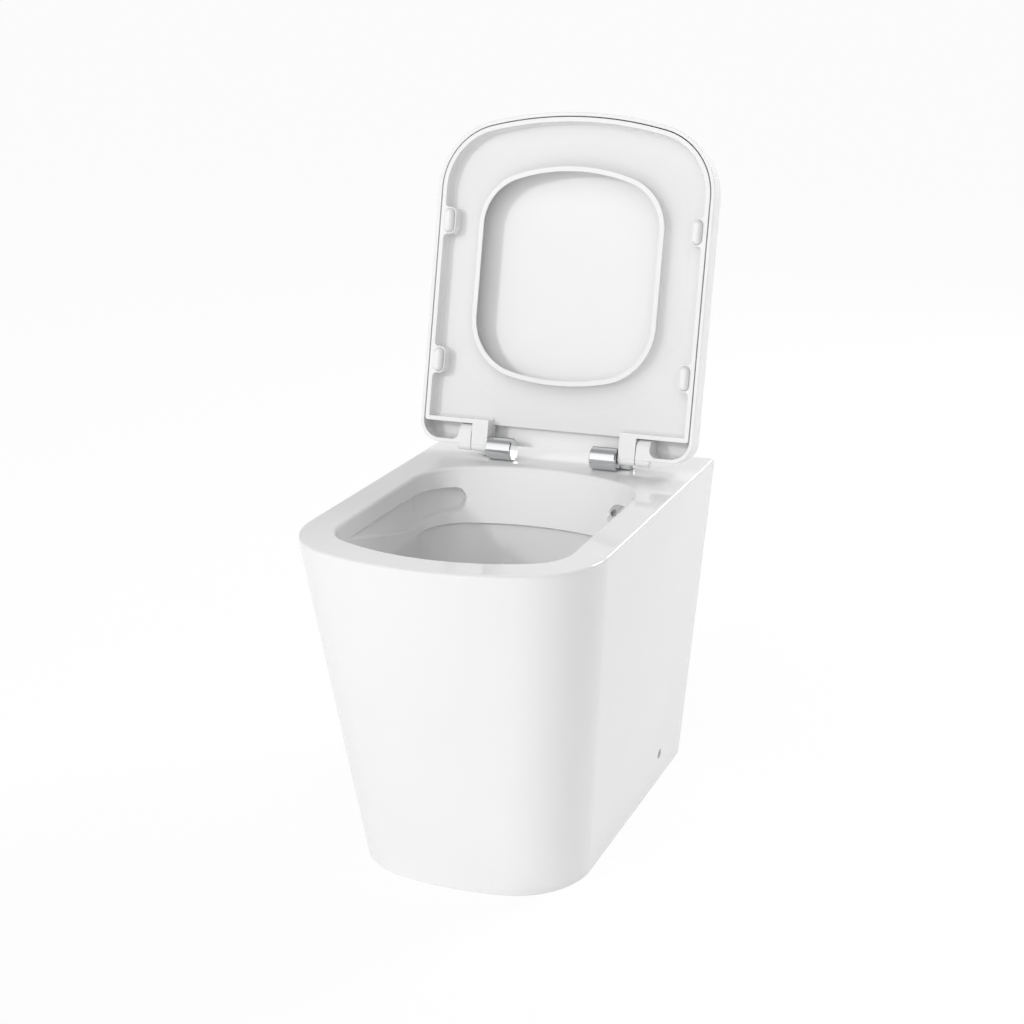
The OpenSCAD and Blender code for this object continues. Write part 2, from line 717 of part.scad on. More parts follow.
module hinge_barrel(side) {
  color(chrome) on_axis() on_side(side) difference() {
    union() {
      along_x(barrel_x + 1, barrel_end - 1, barrel_r);
      translate([barrel_x, 0, 0]) rotate([0, 90, 0]) cylinder(h = 1, r1 = barrel_r - 1, r2 = barrel_r, $fn = fine);
      translate([barrel_end - 1, 0, 0]) rotate([0, 90, 0])
        cylinder(h = 1, r1 = barrel_r, r2 = barrel_r - 1, $fn = fine);
      translate([post_x, post_y, boss_low]) cylinder(h = boss_high - boss_low, r = boss_r, $fn = fine);
    }
    along_x(barrel_x - eps, damper_x, button_r + 0.2);
    along_x(damper_x - eps, damper_end, damper_r + 0.1);
    along_x(damper_end - eps, barrel_end + eps, pin_d / 2 + running);
    translate([0, stem_y, 0]) along_x(damper_x - eps, post_x, stem_r + 0.1);
    translate([post_x, post_y, -barrel_r]) cylinder(h = barrel_r + post_high + loose, r = post_r + 0.1, $fn = fine);
    translate([post_x, post_y, -groove_h / 2]) cylinder(h = groove_h, r = clip_r + 0.4, $fn = fine);
  }
}

module release_button(side) {
  color(chrome) on_axis() on_side(side) {
    along_x(barrel_x, barrel_x + button_t, button_r);
    translate([0, stem_y, 0]) along_x(barrel_x + button_t, post_x - clip_r - stem_gap, stem_r);
  }
}

// spring clip that sits in the post's groove, open towards the outside
module latch_clip(side) {
  color(steel) on_axis() on_side(side) translate([post_x, post_y, -clip_t / 2]) difference() {
    cylinder(h = clip_t, r = clip_r, $fn = fine);
    translate([0, 0, -eps]) cylinder(h = clip_t + 2 * eps, r = groove_r + 0.1, $fn = fine);
    translate([0, -groove_r + 0.4, -eps]) cube([2 * clip_r, 2 * groove_r - 0.8, clip_t + 2 * eps]);
  }
}

// soft-close cartridge; the pin turns in its bore
module damper(side) {
  color(rubber) on_axis() on_side(side) difference() {
    along_x(damper_x + 0.2, damper_end - 0.2, damper_r);
    along_x(damper_x + 4, damper_end + eps, pin_d / 2 + running);
  }
}

module hinge_pin(side, keyed0, keyed1) {
  color(steel) opened() on_side(side) difference() {
    along_x(damper_x + 4.3, pin_end - 0.3, pin_d / 2);
    for (k = [-1, 1]) translate([keyed0 - loose, -pin_d, k > 0 ? flat_half : -flat_half - pin_d])
      cube([keyed1 - keyed0 + 2 * loose, 2 * pin_d, pin_d]);
  }
}

module bush(side, x0, x1) {
  color(nylon) on_axis() on_side(side) difference() {
    along_x(x0, x1, bush_r);
    along_x(x0 - eps, x1 + eps, pin_d / 2 + running);
  }
}

plate_y = hole_y - hinge_y;
plate_z = gasket_t - hinge_rise;
plate_edge_y = 7;
stud_d = 7.8;
stud_in = 5;
stud_l = 66;

// round base with a saddle for the barrel and the post that the barrel's boss drops on to
module hinge_base(side) {
  color(chrome) on_axis() on_side(side) {
    difference() {
      union() {
        translate([hole_x, plate_y, plate_z]) cylinder(h = base_plate_t - 0.8, d = base_plate_d, $fn = fine);
        translate([hole_x, plate_y, plate_z + base_plate_t - 0.8])
          cylinder(h = 0.8, d1 = base_plate_d, d2 = base_plate_d - 1.6, $fn = fine);
      }
      along_x(barrel_x - 2, barrel_end + loose, barrel_r + loose);
      along_x(barrel_end, ear_x + ear_w, lug_r + 1.6);
      plate_front();
      translate([hole_x, plate_y, plate_z - eps]) cylinder(h = stud_in + eps, d = stud_d + 0.1, $fn = fine);
    }
    difference() {
      translate([post_x, post_y, plate_z + 1]) cylinder(h = post_high - plate_z - 1, r = post_r, $fn = fine);
      translate([post_x, post_y, -groove_h / 2]) difference() {
        cylinder(h = groove_h, r = post_r + eps, $fn = fine);
        translate([0, 0, -eps]) cylinder(h = groove_h + 2 * eps, r = groove_r, $fn = fine);
      }
    }
  }
}

// the base and gasket end in a straight edge below the barrel
module plate_front() {
  translate([hole_x - base_plate_d, -base_plate_d, plate_z - gasket_t - eps])
    cube([2 * base_plate_d, base_plate_d + plate_edge_y, base_plate_t + gasket_t + 2 * eps]);
}

module deck_fixing(side) {
  placed() translate([side * hole_x, hole_y, pan_h]) children();
}

module hinge_gasket(side) {
  color(rubber) difference() {
    deck_fixing(side) difference() {
      cylinder(h = gasket_t, d = base_plate_d - 2, $fn = fine);
      translate([0, 0, -eps]) cylinder(h = gasket_t + 2 * eps, d = stud_d + 0.6, $fn = fine);
    }
    on_axis() on_side(side) translate([0, 1, 0]) plate_front();
  }
}

module hinge_stud(side) {
  color(steel) deck_fixing(side)
    translate([0, 0, gasket_t + stud_in - stud_l]) cylinder(h = stud_l - 0.1, d = stud_d, $fn = fine);
}

sleeve_l = 34;
module anchor_sleeve(side) {
  color(rubber) deck_fixing(side) difference() {
    union() {
      translate([0, 0, -sleeve_l]) cylinder(h = sleeve_l, d = deck_hole_d - 0.2, $fn = fine);
      translate([0, 0, -sleeve_l]) cylinder(h = sleeve_l - deck_t - 0.2, r = deck_hole_d / 2 + sleeve_bulge, $fn = fine);
    }
    translate([0, 0, -sleeve_l - eps]) cylinder(h = sleeve_l + 2 * eps, d = stud_d + 0.1, $fn = fine);
  }
}

nut_h = 12;
module anchor_nut(side) {
  color(steel) deck_fixing(side) translate([0, 0, -sleeve_l - nut_h]) difference() {
    union() {
      cylinder(h = nut_h, d = 13, $fn = 6);
      translate([0, 0, nut_h - 2]) cylinder(h = 2, d = deck_hole_d - 0.4, $fn = fine);
    }
    translate([0, 0, -eps]) cylinder(h = nut_h + 2 * eps, d = stud_d + 0.1, $fn = fine);
  }
}

// ---- floor fixings, drawn for the right side

side_y = wall_y - side_hole_from_wall;
skin_x = pan_plan(side_hole_z)[0];
skin_in = skin_x - pan_wall;
bracket_x = skin_in - 9;
bracket_foot = 46;
bracket_up = 62;

module floor_bracket(side) {
  color(steel) placed() on_side(side) difference() {
    union() {
      translate([bracket_x - bracket_foot, side_y - bracket_l / 2, 0]) cube([bracket_foot, bracket_l, bracket_t]);
      translate([bracket_x - bracket_t, side_y - bracket_l / 2, 0]) cube([bracket_t, bracket_l, bracket_up]);
    }
    translate([0, side_y, side_hole_z])
      along_x(bracket_x - bracket_t - eps, bracket_x + eps, side_screw_d / 2 + 0.3);
    for (y = [-1, 1]) translate([bracket_x - bracket_foot / 2 - 4, side_y + y * floor_hole_pitch / 2, -eps])
      cylinder(h = bracket_t + 2 * eps, d = floor_hole_d, $fn = fine);
  }
}

screw_head_d = side_screw_d + 4.4;
screw_head_t = 3;
head_x = skin_x - 7;
module side_screw(side) {
  color(steel) placed() on_side(side) translate([0, side_y, side_hole_z]) {
    along_x(bracket_x - 16, head_x - screw_head_t, side_screw_d / 2);
    difference() {
      along_x(head_x - screw_head_t, head_x, screw_head_d / 2);
      translate([head_x - 1.5, 0, 0]) rotate([0, 90, 0]) cylinder(h = 2, d = 4, $fn = 6);
    }
  }
}

// nylon sleeve that keeps the screw off the china, with a collar inside the skin
module side_screw_bush(side) {
  collar_t = 4;
  color(nylon) placed() on_side(side) translate([0, side_y, side_hole_z]) difference() {
    union() {
      along_x(bracket_x + loose, head_x - screw_head_t - 0.1, side_hole_d / 2 - 0.4);
      along_x(bracket_x + loose, bracket_x + loose + collar_t, side_hole_d / 2 + 3);
    }
    along_x(bracket_x, head_x, side_screw_d / 2 + 0.1);
  }
}

module bracket_nut(side) {
  color(steel) placed() on_side(side) translate([bracket_x - bracket_t - 6, side_y, side_hole_z])
    rotate([0, 90, 0]) difference() {
      cylinder(h = 6, d = side_screw_d + 6, $fn = 6);
      translate([0, 0, -eps]) cylinder(h = 6 + 2 * eps, d = side_screw_d + 0.1, $fn = fine);
    }
}

pan_rim();
pan_skirt();
pan_bowl();
pan_trap();
pan_outlet();
pan_inlet();
inlet_seal();
lid();
seat();
seat_buffer(-1, front_buffer_s);  // seat_buffer_left_front
seat_buffer(1, front_buffer_s);  // seat_buffer_right_front
seat_buffer(-1, rear_buffer_s);  // seat_buffer_left_rear
seat_buffer(1, rear_buffer_s);  // seat_buffer_right_rear
lid_buffer(-1);  // lid_buffer_left
lid_buffer(1);  // lid_buffer_right
hinge_barrel(-1);  // hinge_barrel_left
hinge_barrel(1);  // hinge_barrel_right
release_button(-1);  // release_button_left
release_button(1);  // release_button_right
latch_clip(-1);  // latch_clip_left
latch_clip(1);  // latch_clip_right
damper(-1);  // seat_damper
damper(1);  // lid_damper
hinge_pin(-1, ear_x, ear_x + ear_w);  // seat_pin
hinge_pin(1, knuckle_x, knuckle_end);  // lid_pin
bush(-1, knuckle_x + 0.2, pin_end - 0.2);  // lid_bush
bush(1, ear_x + 0.1, ear_x + ear_w - 0.1);  // seat_bush
hinge_base(-1);  // hinge_base_left
hinge_base(1);  // hinge_base_right
hinge_gasket(-1);  // hinge_gasket_left
hinge_gasket(1);  // hinge_gasket_right
hinge_stud(-1);  // hinge_stud_left
hinge_stud(1);  // hinge_stud_right
anchor_sleeve(-1);  // anchor_sleeve_left
anchor_sleeve(1);  // anchor_sleeve_right
anchor_nut(-1);  // anchor_nut_left
anchor_nut(1);  // anchor_nut_right
floor_bracket(-1);  // floor_bracket_left
floor_bracket(1);  // floor_bracket_right
side_screw(-1);  // side_screw_left
side_screw(1);  // side_screw_right
side_screw_bush(-1);  // side_screw_bush_left
side_screw_bush(1);  // side_screw_bush_right
bracket_nut(-1);  // bracket_nut_left
bracket_nut(1);  // bracket_nut_right
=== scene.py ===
import json
import math

import bmesh
import bpy
from mathutils import Matrix, Vector


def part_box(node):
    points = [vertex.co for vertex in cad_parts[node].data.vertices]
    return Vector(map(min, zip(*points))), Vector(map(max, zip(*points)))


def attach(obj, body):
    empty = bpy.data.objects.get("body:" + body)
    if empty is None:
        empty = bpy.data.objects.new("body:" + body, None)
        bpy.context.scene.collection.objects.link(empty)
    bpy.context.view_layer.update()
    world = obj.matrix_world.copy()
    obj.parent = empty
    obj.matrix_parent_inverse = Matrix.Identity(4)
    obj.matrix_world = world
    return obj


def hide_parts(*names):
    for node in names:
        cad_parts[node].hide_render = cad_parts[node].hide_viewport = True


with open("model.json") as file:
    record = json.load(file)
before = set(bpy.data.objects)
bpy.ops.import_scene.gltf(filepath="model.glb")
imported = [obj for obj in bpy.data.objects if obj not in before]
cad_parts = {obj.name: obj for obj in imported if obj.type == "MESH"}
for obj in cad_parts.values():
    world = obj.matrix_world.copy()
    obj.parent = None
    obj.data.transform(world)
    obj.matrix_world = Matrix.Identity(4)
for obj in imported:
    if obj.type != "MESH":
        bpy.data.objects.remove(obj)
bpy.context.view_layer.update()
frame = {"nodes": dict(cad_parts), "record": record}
nodes = frame["nodes"]


# ---- Pan ----
# One slip-cast piece of vitreous china: skirt, rim, mouth, shelf, bowl, trap, spigot and inlet.
# It is cast in plaster, so every arris is soft, then sprayed with glaze and fired.
MM = 0.001
pan_w, pan_d, pan_h = 353, 494, 400
base_w, base_setback = 270, 69
pan_wall, deck_t = 12, 18
foot_edge, rim_edge = 2, 5
past = 5            # how far a cut runs on past the face that it opens
STRAIGHT = 1e6      # plan radius of an edge that is drawn straight
pan_nodes = [name for name in nodes if name.startswith("pan_")]
pan_front, pan_back = -pan_d / 2, pan_d / 2
wall_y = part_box("pan_rim")[1][1]
pan_place = Matrix.Translation((0, wall_y - pan_back * MM, 0)) @ Matrix.Scale(MM, 4)


def mix(a, b, k):
    return a + (b - a) * k


def mix_plan(a, b, k):
    return [mix(p, q, k) for p, q in zip(a, b)]


def smooth_step(value, start, end):
    k = min(1, max(0, (value - start) / (end - start)))
    return k * k * (3 - 2 * k)


def outline(plan, inset=0.0, corner_n=24, side_n=1, arc_n=24):
    """Points round a plan, drawn in by inset, anticlockwise from the middle of the front. A plan is a
    half width, front, back, front corner and edge radius, back corner and edge radius."""
    half, front, back, corner_f, edge_f, corner_b, edge_b = plan
    half, front, back = half - inset, front + inset, back - inset
    sharpest = 0.6
    rf, ff = max(corner_f - inset, sharpest), edge_f - inset
    rb, bb = max(corner_b - inset, sharpest), edge_b - inset
    kf = math.sqrt(max((ff - rf) ** 2 - (half - rf) ** 2, 0))
    kb = math.sqrt(max((bb - rb) ** 2 - (half - rb) ** 2, 0))
    af, ab = math.atan2(kf, half - rf), math.atan2(kb, half - rb)
    right = []
    for i in range(arc_n + 1):
        t = mix(-math.pi / 2, -af, i / arc_n)
        right.append((ff * math.cos(t), front + ff + ff * math.sin(t)))
    for i in range(1, corner_n + 1):
        t = mix(-af, 0, i / corner_n)
        right.append((half - rf + rf * math.cos(t), front + ff - kf + rf * math.sin(t)))
    side_from, side_to = right[-1][1], back - bb + kb
    for i in range(1, side_n):
        right.append((half, mix(side_from, side_to, i / side_n)))
    for i in range(corner_n + 1):
        t = mix(0, ab, i / corner_n)
        right.append((half - rb + rb * math.cos(t), side_to + rb * math.sin(t)))
    for i in range(1, arc_n + 1):
        t = mix(ab, math.pi / 2, i / arc_n)
        right.append((bb * math.cos(t), back - bb + bb * math.sin(t)))
    return right + [(-x, y) for x, y in right[-2:0:-1]]


def at_height(points, z):
    return [(x, y, z) for x, y in points]


def quarter(radius, steps):
    """(across, along) of a quarter round, from its tangent at the side to its tangent at the top."""
    turns = [math.pi / 2 * i / steps for i in range(steps + 1)]
    return [(radius * (1 - math.cos(t)), radius * math.sin(t)) for t in turns]


def lower_quarter(radius, steps):
    """(across, up) of a quarter round below a side, from its lowest point to its tangent at the side."""
    return [(across, radius - along) for across, along in quarter(radius, steps)[::-1]]


def solid(name, rings, place):
    """A closed mesh through a stack of rings that have the same number of points."""
    n = len(rings[0])
    points = [place @ Vector(p) for ring in rings for p in ring]
    faces = [tuple(reversed(range(n))), tuple(range((len(rings) - 1) * n, len(rings) * n))]
    for j in range(len(rings) - 1):
        for i in range(n):
            a, b = j * n + i, j * n + (i + 1) % n
            faces.append((a, b, b + n, a + n))
    mesh = bpy.data.meshes.new(name)
    mesh.from_pydata(points, [], faces)
    piece = bpy.data.objects.new(name, mesh)
    bpy.context.scene.collection.objects.link(piece)
    shell = bmesh.new()
    shell.from_mesh(mesh)
    bmesh.ops.recalc_face_normals(shell, faces=shell.faces)
    shell.to_mesh(mesh)
    shell.free()
    return piece


def ring_round(centre, direction, side, radius, n):
    """A circle of n points round a centre, square to a direction."""
    across = Vector(side).normalized()
    up = Vector(direction).cross(across).normalized()
    turns = [2 * math.pi * i / n for i in range(n)]
    return [Vector(centre) + radius * (math.cos(t) * across + math.sin(t) * up) for t in turns]


def pipe(name, path, radius, side, place, n=64):
    """A closed round bar along a path, which stays square to side."""
    rings = []
    for i, point in enumerate(path):
        ahead, behind = path[min(i + 1, len(path) - 1)], path[max(i - 1, 0)]
        rings.append(ring_round(point, Vector(ahead) - Vector(behind), side, radius, n))
    return solid(name, rings, place)


def straight_pipe(name, start, end, radius, place):
    """A closed round bar, level or upright."""
    level = start[2] == end[2]
    return pipe(name, [start, end], radius, (0, 0, 1) if level else (1, 0, 0), place)


def joined(piece, hollows, parts, openings=()):
    """Cuts hollows from a piece, joins parts to it, cuts openings through it all, and clears them away."""
    steps = [("DIFFERENCE", other) for other in hollows]
    steps += [("UNION", other) for other in parts]
    steps += [("DIFFERENCE", other) for other in openings]
    for operation, other in steps:
        change = piece.modifiers.new(other.name, "BOOLEAN")
        change.operation, change.object, change.solver = operation, other, "MANIFOLD"
    mesh = bpy.data.meshes.new_from_object(piece.evaluated_get(bpy.context.evaluated_depsgraph_get()))
    piece.modifiers.clear()
    mesh.materials.clear()
    piece.data = mesh
    for _, other in steps:
        bpy.data.objects.remove(other)


def shade(piece, sharpest=38):
    """Smooth shading with a crease wherever faces meet at more than an angle; flat faces stay flat."""
    shell = bmesh.new()
    shell.from_mesh(piece.data)
    bmesh.ops.remove_doubles(shell, verts=shell.verts, dist=0.002 * MM)
    for edge in shell.edges:
        edge.smooth = not (len(edge.link_faces) == 2 and edge.calc_face_angle() > math.radians(sharpest))
    for face in shell.faces:
        face.smooth = True
    shell.to_mesh(piece.data)
    shell.free()
    weights = piece.modifiers.new("flat faces stay flat", "WEIGHTED_NORMAL")
    weights.keep_sharp = True
    weights.weight = 80


# The outside narrows and sets back evenly towards the foot
foot_plan = [base_w / 2, pan_front + base_setback, pan_back, 88, 325, 3, STRAIGHT]
rim_plan = [pan_w / 2, pan_front, pan_back, 97, 338, 3, STRAIGHT]


def pan_ring(z, inset=0.0):
    return at_height(outline(mix_plan(foot_plan, rim_plan, z / pan_h), inset), z)


rings = [pan_ring(up, across) for across, up in lower_quarter(foot_edge, 6)]
rings += [pan_ring(mix(foot_edge, pan_h - rim_edge, i / 12)) for i in range(1, 12)]
rings += [pan_ring(pan_h - rim_edge + along, across) for across, along in quarter(rim_edge, 8)]
pan = solid("pan_china", rings, pan_place)

# The space in the skirt is open to the floor and to the wall behind
rings = []
for i in range(9):
    z = mix(-past, pan_h - deck_t, i / 8)
    plan = mix_plan(foot_plan, rim_plan, z / pan_h)
    plan[2] += 3 * pan_wall
    rings.append(at_height(outline(plan, pan_wall), z))
skirt_space = solid("skirt_space", rings, pan_place)

# The mouth, the shelf under the wash channels and the bowl below it
rim_side, rim_front, rim_back = 41.7, 39.4, 115.7
shelf_z, shelf_side, shelf_back = 63, 12, 27
mouth_edge, undercut, undercut_edge = 4.5, 4, 2.5
shelf_level, undercut_level = pan_h - shelf_z, pan_h - shelf_z - undercut
mouth = [pan_w / 2 - rim_side, pan_front + rim_front, pan_back - rim_back, 50, 250, 66, 225]
shelf = [mouth[0] - shelf_side, mouth[1] + shelf_side, mouth[2] - shelf_back, 52, 250, 54, 265]
sump_top = [shelf[0] + undercut, shelf[1] - undercut, shelf[2] + undercut] + shelf[3:]
trap_bore, trap_wall = 56, 9
sump_z, sump_r, sump_y = 92, trap_bore / 2 - 2, 44
sump = [sump_r, sump_y - sump_r, sump_y + sump_r, sump_r - 2, sump_r, sump_r - 2, sump_r]
bowl_wall = 14


def bowl_outline(plan, inset=0.0):
    """An outline inside the mouth, with points close enough together for the wash channels."""
    return outline(plan, inset, corner_n=60, side_n=90)


def bowl_plan(k):
    """The bowl's plan, from round at the sump to the shelf's own shape, whose edges flatten last."""
    plan = mix_plan(sump, sump_top, math.sin(math.pi / 2 * k))
    least = plan[0] + 3 * min(1, 20 * k)      # an edge can't be rounder than the width allows
    for edge in (4, 6):
        plan[edge] = max(mix(sump[edge], sump_top[edge], k ** 2.2), least)
    return plan


def bowl_rings(grow, steps):
    """Rings of the bowl's inner face, from the bottom to under the shelf, grown by a thickness."""
    found = []
    for i in range(steps + 1):
        k = i / steps
        z = mix(sump_z, undercut_level, (1 - math.cos(math.pi / 2 * k)) ** 0.85) - grow * (1 - k)
        found.append(at_height(bowl_outline(bowl_plan(k), -grow), z))
    return found


# The wash channels: each starts in a back corner as a deep slot with a round end and runs forward
# along the side, shallower and narrower, until it meets the wall near the front
feed_z = pan_h - 36.5
slot_from_middle = 92     # along the wall, from the middle of the back to the slot's round end
slot_r, slot_l, slot_deep = 13.5, 75, 17
channel_l, channel_deep, channel_end_deep = 250, 6.5, 0.6
channel_lip, edge_share = 3, 0.72      # width of its rolled edge, and its depth there to the middle's
top_rise, top_rise_l = 4.5, 110
floor_drop, floor_drop_l, floor_climbs_from = 4, 70, 100


def channel_depth(run, z):
    """How far the wall stands back at a height, a distance run along it from the slot's round end."""
    if run <= 0 or run > channel_l:
        return 0.0
    top = feed_z + slot_r + top_rise * min(1, run / top_rise_l)
    low = feed_z - slot_r - floor_drop * min(1, run / floor_drop_l)
    if run > floor_climbs_from:
        low = mix(low, top, ((run - floor_climbs_from) / (channel_l - floor_climbs_from)) ** 1.15)
    half, middle = (top - low) / 2, (top + low) / 2
    if half < 0.2:
        return 0.0
    if run < slot_l:
        deepest = mix(slot_deep, channel_deep, (run / slot_l) ** 0.8)
    else:
        deepest = mix(channel_deep, channel_end_deep, (run - slot_l) / (channel_l - slot_l))
    off = abs(z - middle) / half
    inside = half * (1 - math.hypot(max(0, 1 - run / slot_r), off))
    return deepest * smooth_step(inside, 0, channel_lip) * mix(edge_share, 1, 1 - off * off)


def run_lengths(points):
    """Distance of each point of an outline from the middle of the back, round either side."""
    n = len(points)
    half = n // 2
    lengths = [0.0] * n
    for step in (1, -1):
        total, last = 0.0, points[half]
        for i in range(1, half + 1):
            here = points[(half + step * i) % n]
            total += math.dist(here, last)
            lengths[(half + step * i) % n] = total
            last = here
    return lengths


# Runs along the wall are measured at about the height of the channels
wall_runs = run_lengths(bowl_outline(mix_plan(shelf, mouth, 0.45)))


def wall_ring(k, grow=0.0):
    """A ring of the wall, with its channels, from the shelf to the mouth's edge."""
    z = mix(shelf_level, pan_h - mouth_edge, k)
    points = bowl_outline(mix_plan(shelf, mouth, k), -grow)
    moved = []
    for i, (x, y) in enumerate(points):
        (ax, ay), (bx, by) = points[i - 1], points[(i + 1) % len(points)]
        length = math.hypot(bx - ax, by - ay)
        depth = channel_depth(wall_runs[i] - slot_from_middle, z)
        moved.append((x + depth * (by - ay) / length, y - depth * (bx - ax) / length, z))
    return moved


def wall_rings(n, grow=0.0):
    return [wall_ring(i / n, grow) for i in range(n + 1)]


# The undercut below the shelf runs round the back and dies out at the sides, where wall and bowl
# flow into each other
undercut_fades, undercut_gone = 118, 186
undercut_fade_h = 45
turn_in = [(a - c, b - d) for (a, b), (c, d) in zip(bowl_outline(shelf), bowl_outline(sump_top))]


def without_undercut(ring, share):
    """A ring below the shelf, drawn in to the shelf's line by a share where the undercut has gone."""
    moved = []
    for (x, y, z), (dx, dy), run in zip(ring, turn_in, wall_runs):
        gone = smooth_step(run, undercut_fades, undercut_gone)
        moved.append((x + dx * share * gone, y + dy * share * gone, z))
    return moved


rings = [without_undercut(ring, smooth_step(ring[0][2], shelf_level - undercut_fade_h, undercut_level))
         for ring in bowl_rings(0, 40)]
for _, along in quarter(undercut_edge, 4)[1:]:
    # the shelf's underside turns in to a soft lip
    k = along / undercut_edge
    plan = mix_plan(sump_top, shelf, k ** 1.5)
    rings.append(without_undercut(at_height(bowl_outline(plan), mix(undercut_level, shelf_level, k)),
                                  1 - k ** 1.5))
rings += wall_rings(84)[1:]
rings += [at_height(bowl_outline(mouth, -across), pan_h - mouth_edge + along)
          for across, along in quarter(mouth_edge, 8)[1:]]
rings.append(at_height(bowl_outline(mouth, -mouth_edge), pan_h + past))
bowl_space = solid("bowl_space", rings, pan_place)

bowl_body = solid("bowl_body", bowl_rings(bowl_wall, 16) + wall_rings(22, bowl_wall), pan_place)

# Trapway: down from the sump, round the dip, up over the weir and level into the spigot
outlet_z, outlet_r, outlet_l, pipe_end_in = 180, 51, 44, 15
outlet_end = pan_back - pipe_end_in
outlet_start = outlet_end - outlet_l
water_seal, bend_r = 50, trap_bore / 2 + trap_wall + 5
fall, climb, fall_l = math.radians(45), math.radians(70), 13
weir_z = outlet_z + 10
climb_l = (water_seal + trap_bore - 2 * bend_r * (1 - math.cos(climb))) / math.sin(climb)
fall_y = sump_y + 6      # where the way down from the sump meets the bend
dip_y, dip_z = fall_y + bend_r * math.sin(fall), weir_z - water_seal - trap_bore
weir_y = dip_y + 2 * bend_r * math.sin(climb) + climb_l * math.cos(climb)
fall_z = dip_z + bend_r * (1 - math.cos(fall))
trap_path = [(0, fall_y - fall_l * math.cos(fall), fall_z + fall_l * math.sin(fall))]
for i in range(25):
    a = mix(-fall, climb, i / 24)
    trap_path.append((0, dip_y + bend_r * math.sin(a), dip_z + bend_r * (1 - math.cos(a))))
for i in range(17):
    a = mix(climb, 0, i / 16)
    trap_path.append((0, weir_y - bend_r * math.sin(a), weir_z - bend_r * (1 - math.cos(a))))
trap_path.append((0, outlet_start + 3, weir_z))
trap = pipe("trap", trap_path, trap_bore / 2 + trap_wall, (1, 0, 0), pan_place)
trap_space = pipe("trap_space", trap_path, trap_bore / 2, (1, 0, 0), pan_place)


def along_y(name, start, end, z, radius):
    return straight_pipe(name, (0, start, z), (0, end, z), radius, pan_place)


spigot = along_y("spigot", outlet_start - trap_wall, outlet_end, outlet_z, outlet_r)
spigot_space = along_y("spigot_space", outlet_start, outlet_end + past, outlet_z, outlet_r - trap_wall)

# The flush comes in at the back and divides into a channel that lies across, ahead of the holes for
# the hinges' anchors
hinge_x, hinge_in, anchor_hole_r = 77.5, 75, 7.2
inlet_z, inlet_r, cross_r = 330, 30, 13
cross_half, cross_end, anchor_clear, overlap = mouth[0] - 39, 6, 2.6, 4
feed_y = pan_back - hinge_in - anchor_hole_r - anchor_clear - cross_r - trap_wall
inlet = along_y("inlet", feed_y - overlap, outlet_end, inlet_z, inlet_r + trap_wall)
inlet_space = along_y("inlet_space", feed_y + overlap, outlet_end + past, inlet_z, inlet_r)


def across_x(name, half, y, z, radius):
    return straight_pipe(name, (-half, y, z), (half, y, z), radius, pan_place)


cross = across_x("cross", cross_half + cross_end, feed_y, feed_z, cross_r + trap_wall)
cross_space = across_x("cross_space", cross_half, feed_y, feed_z, cross_r)
parts = [bowl_body, trap, spigot, inlet, cross]
openings = [bowl_space, trap_space, spigot_space, inlet_space, cross_space]

# From the cross channel a bore turns forward on either side and enters the slot through its round end
feed_r, feed_wall = 4.5, 5.5
feed_path = [(80, feed_y), (79.5, 124), (81.5, 115.5), (87, 110.8), (97, 106)]
for name, radius, group in (("feed_body", feed_r + feed_wall, parts), ("slot_feed", feed_r, openings)):
    for side in (-1, 1):
        path = [(side * x, y, feed_z) for x, y in feed_path]
        group.append(pipe(name, path, radius, (0, 0, 1), pan_place, 32))

for side in (-1, 1):
    x, y = side * hinge_x, pan_back - hinge_in
    openings.append(straight_pipe("deck_hole", (x, y, pan_h - deck_t - past), (x, y, pan_h + past),
                                  anchor_hole_r, pan_place))
side_hole_in, side_hole_z, side_hole_r = 95, 41, 6.6
openings.append(across_x("side_holes", pan_w / 2, pan_back - side_hole_in, side_hole_z, side_hole_r))
joined(pan, [skirt_space], parts, openings)
shade(pan)


def colour(code):
    """Linear colour of an sRGB hex value."""
    parts = [int(code[i:i + 2], 16) / 255 for i in (0, 2, 4)]
    return tuple(p / 12.92 if p <= 0.04045 else ((p + 0.055) / 1.055) ** 2.4 for p in parts) + (1.0,)


def add(tree, kind, inputs, **settings):
    """Adds a node, with its settings, and its inputs as values or as links from other sockets."""
    made = tree.nodes.new(kind)
    for key, value in settings.items():
        setattr(made, key, value)
    for key, value in inputs.items():
        if isinstance(value, bpy.types.NodeSocket):
            tree.links.new(value, made.inputs[key])
        else:
            made.inputs[key].default_value = value
    return made


def finish_of(name):
    """A new material and its node tree, with only the output in it."""
    made = bpy.data.materials.new(name)
    made.use_nodes = True
    tree = made.node_tree
    tree.nodes.clear()
    return made, tree, tree.nodes.new("ShaderNodeOutputMaterial")


def per_mm(size):
    """Texture scale of a feature of a size in millimetres."""
    return 1 / (size * MM)


# Feldspathic glaze, fired: glassy and very smooth, with a faint orange peel and a slow drift in its
# white, so that reflections waver a little over the broad faces
china_glaze, tree, out = finish_of("vitreous_china_glaze")
place = add(tree, "ShaderNodeTexCoord", {}).outputs["Object"]
drift = add(tree, "ShaderNodeTexNoise", {"Vector": place, "Scale": per_mm(140), "Detail": 2.0})
white = add(tree, "ShaderNodeMix", {"Factor": drift.outputs["Fac"], "A": colour("ECECEC"),
                                    "B": colour("E8E8E8")}, data_type="RGBA")
peel = add(tree, "ShaderNodeTexNoise", {"Vector": place, "Scale": per_mm(5), "Detail": 2.0})
gloss = add(tree, "ShaderNodeMapRange", {"Value": peel.outputs["Fac"], "To Min": 0.02, "To Max": 0.05})
ripple = add(tree, "ShaderNodeBump", {"Height": peel.outputs["Fac"], "Strength": 0.06,
                                      "Distance": 0.05 * MM})
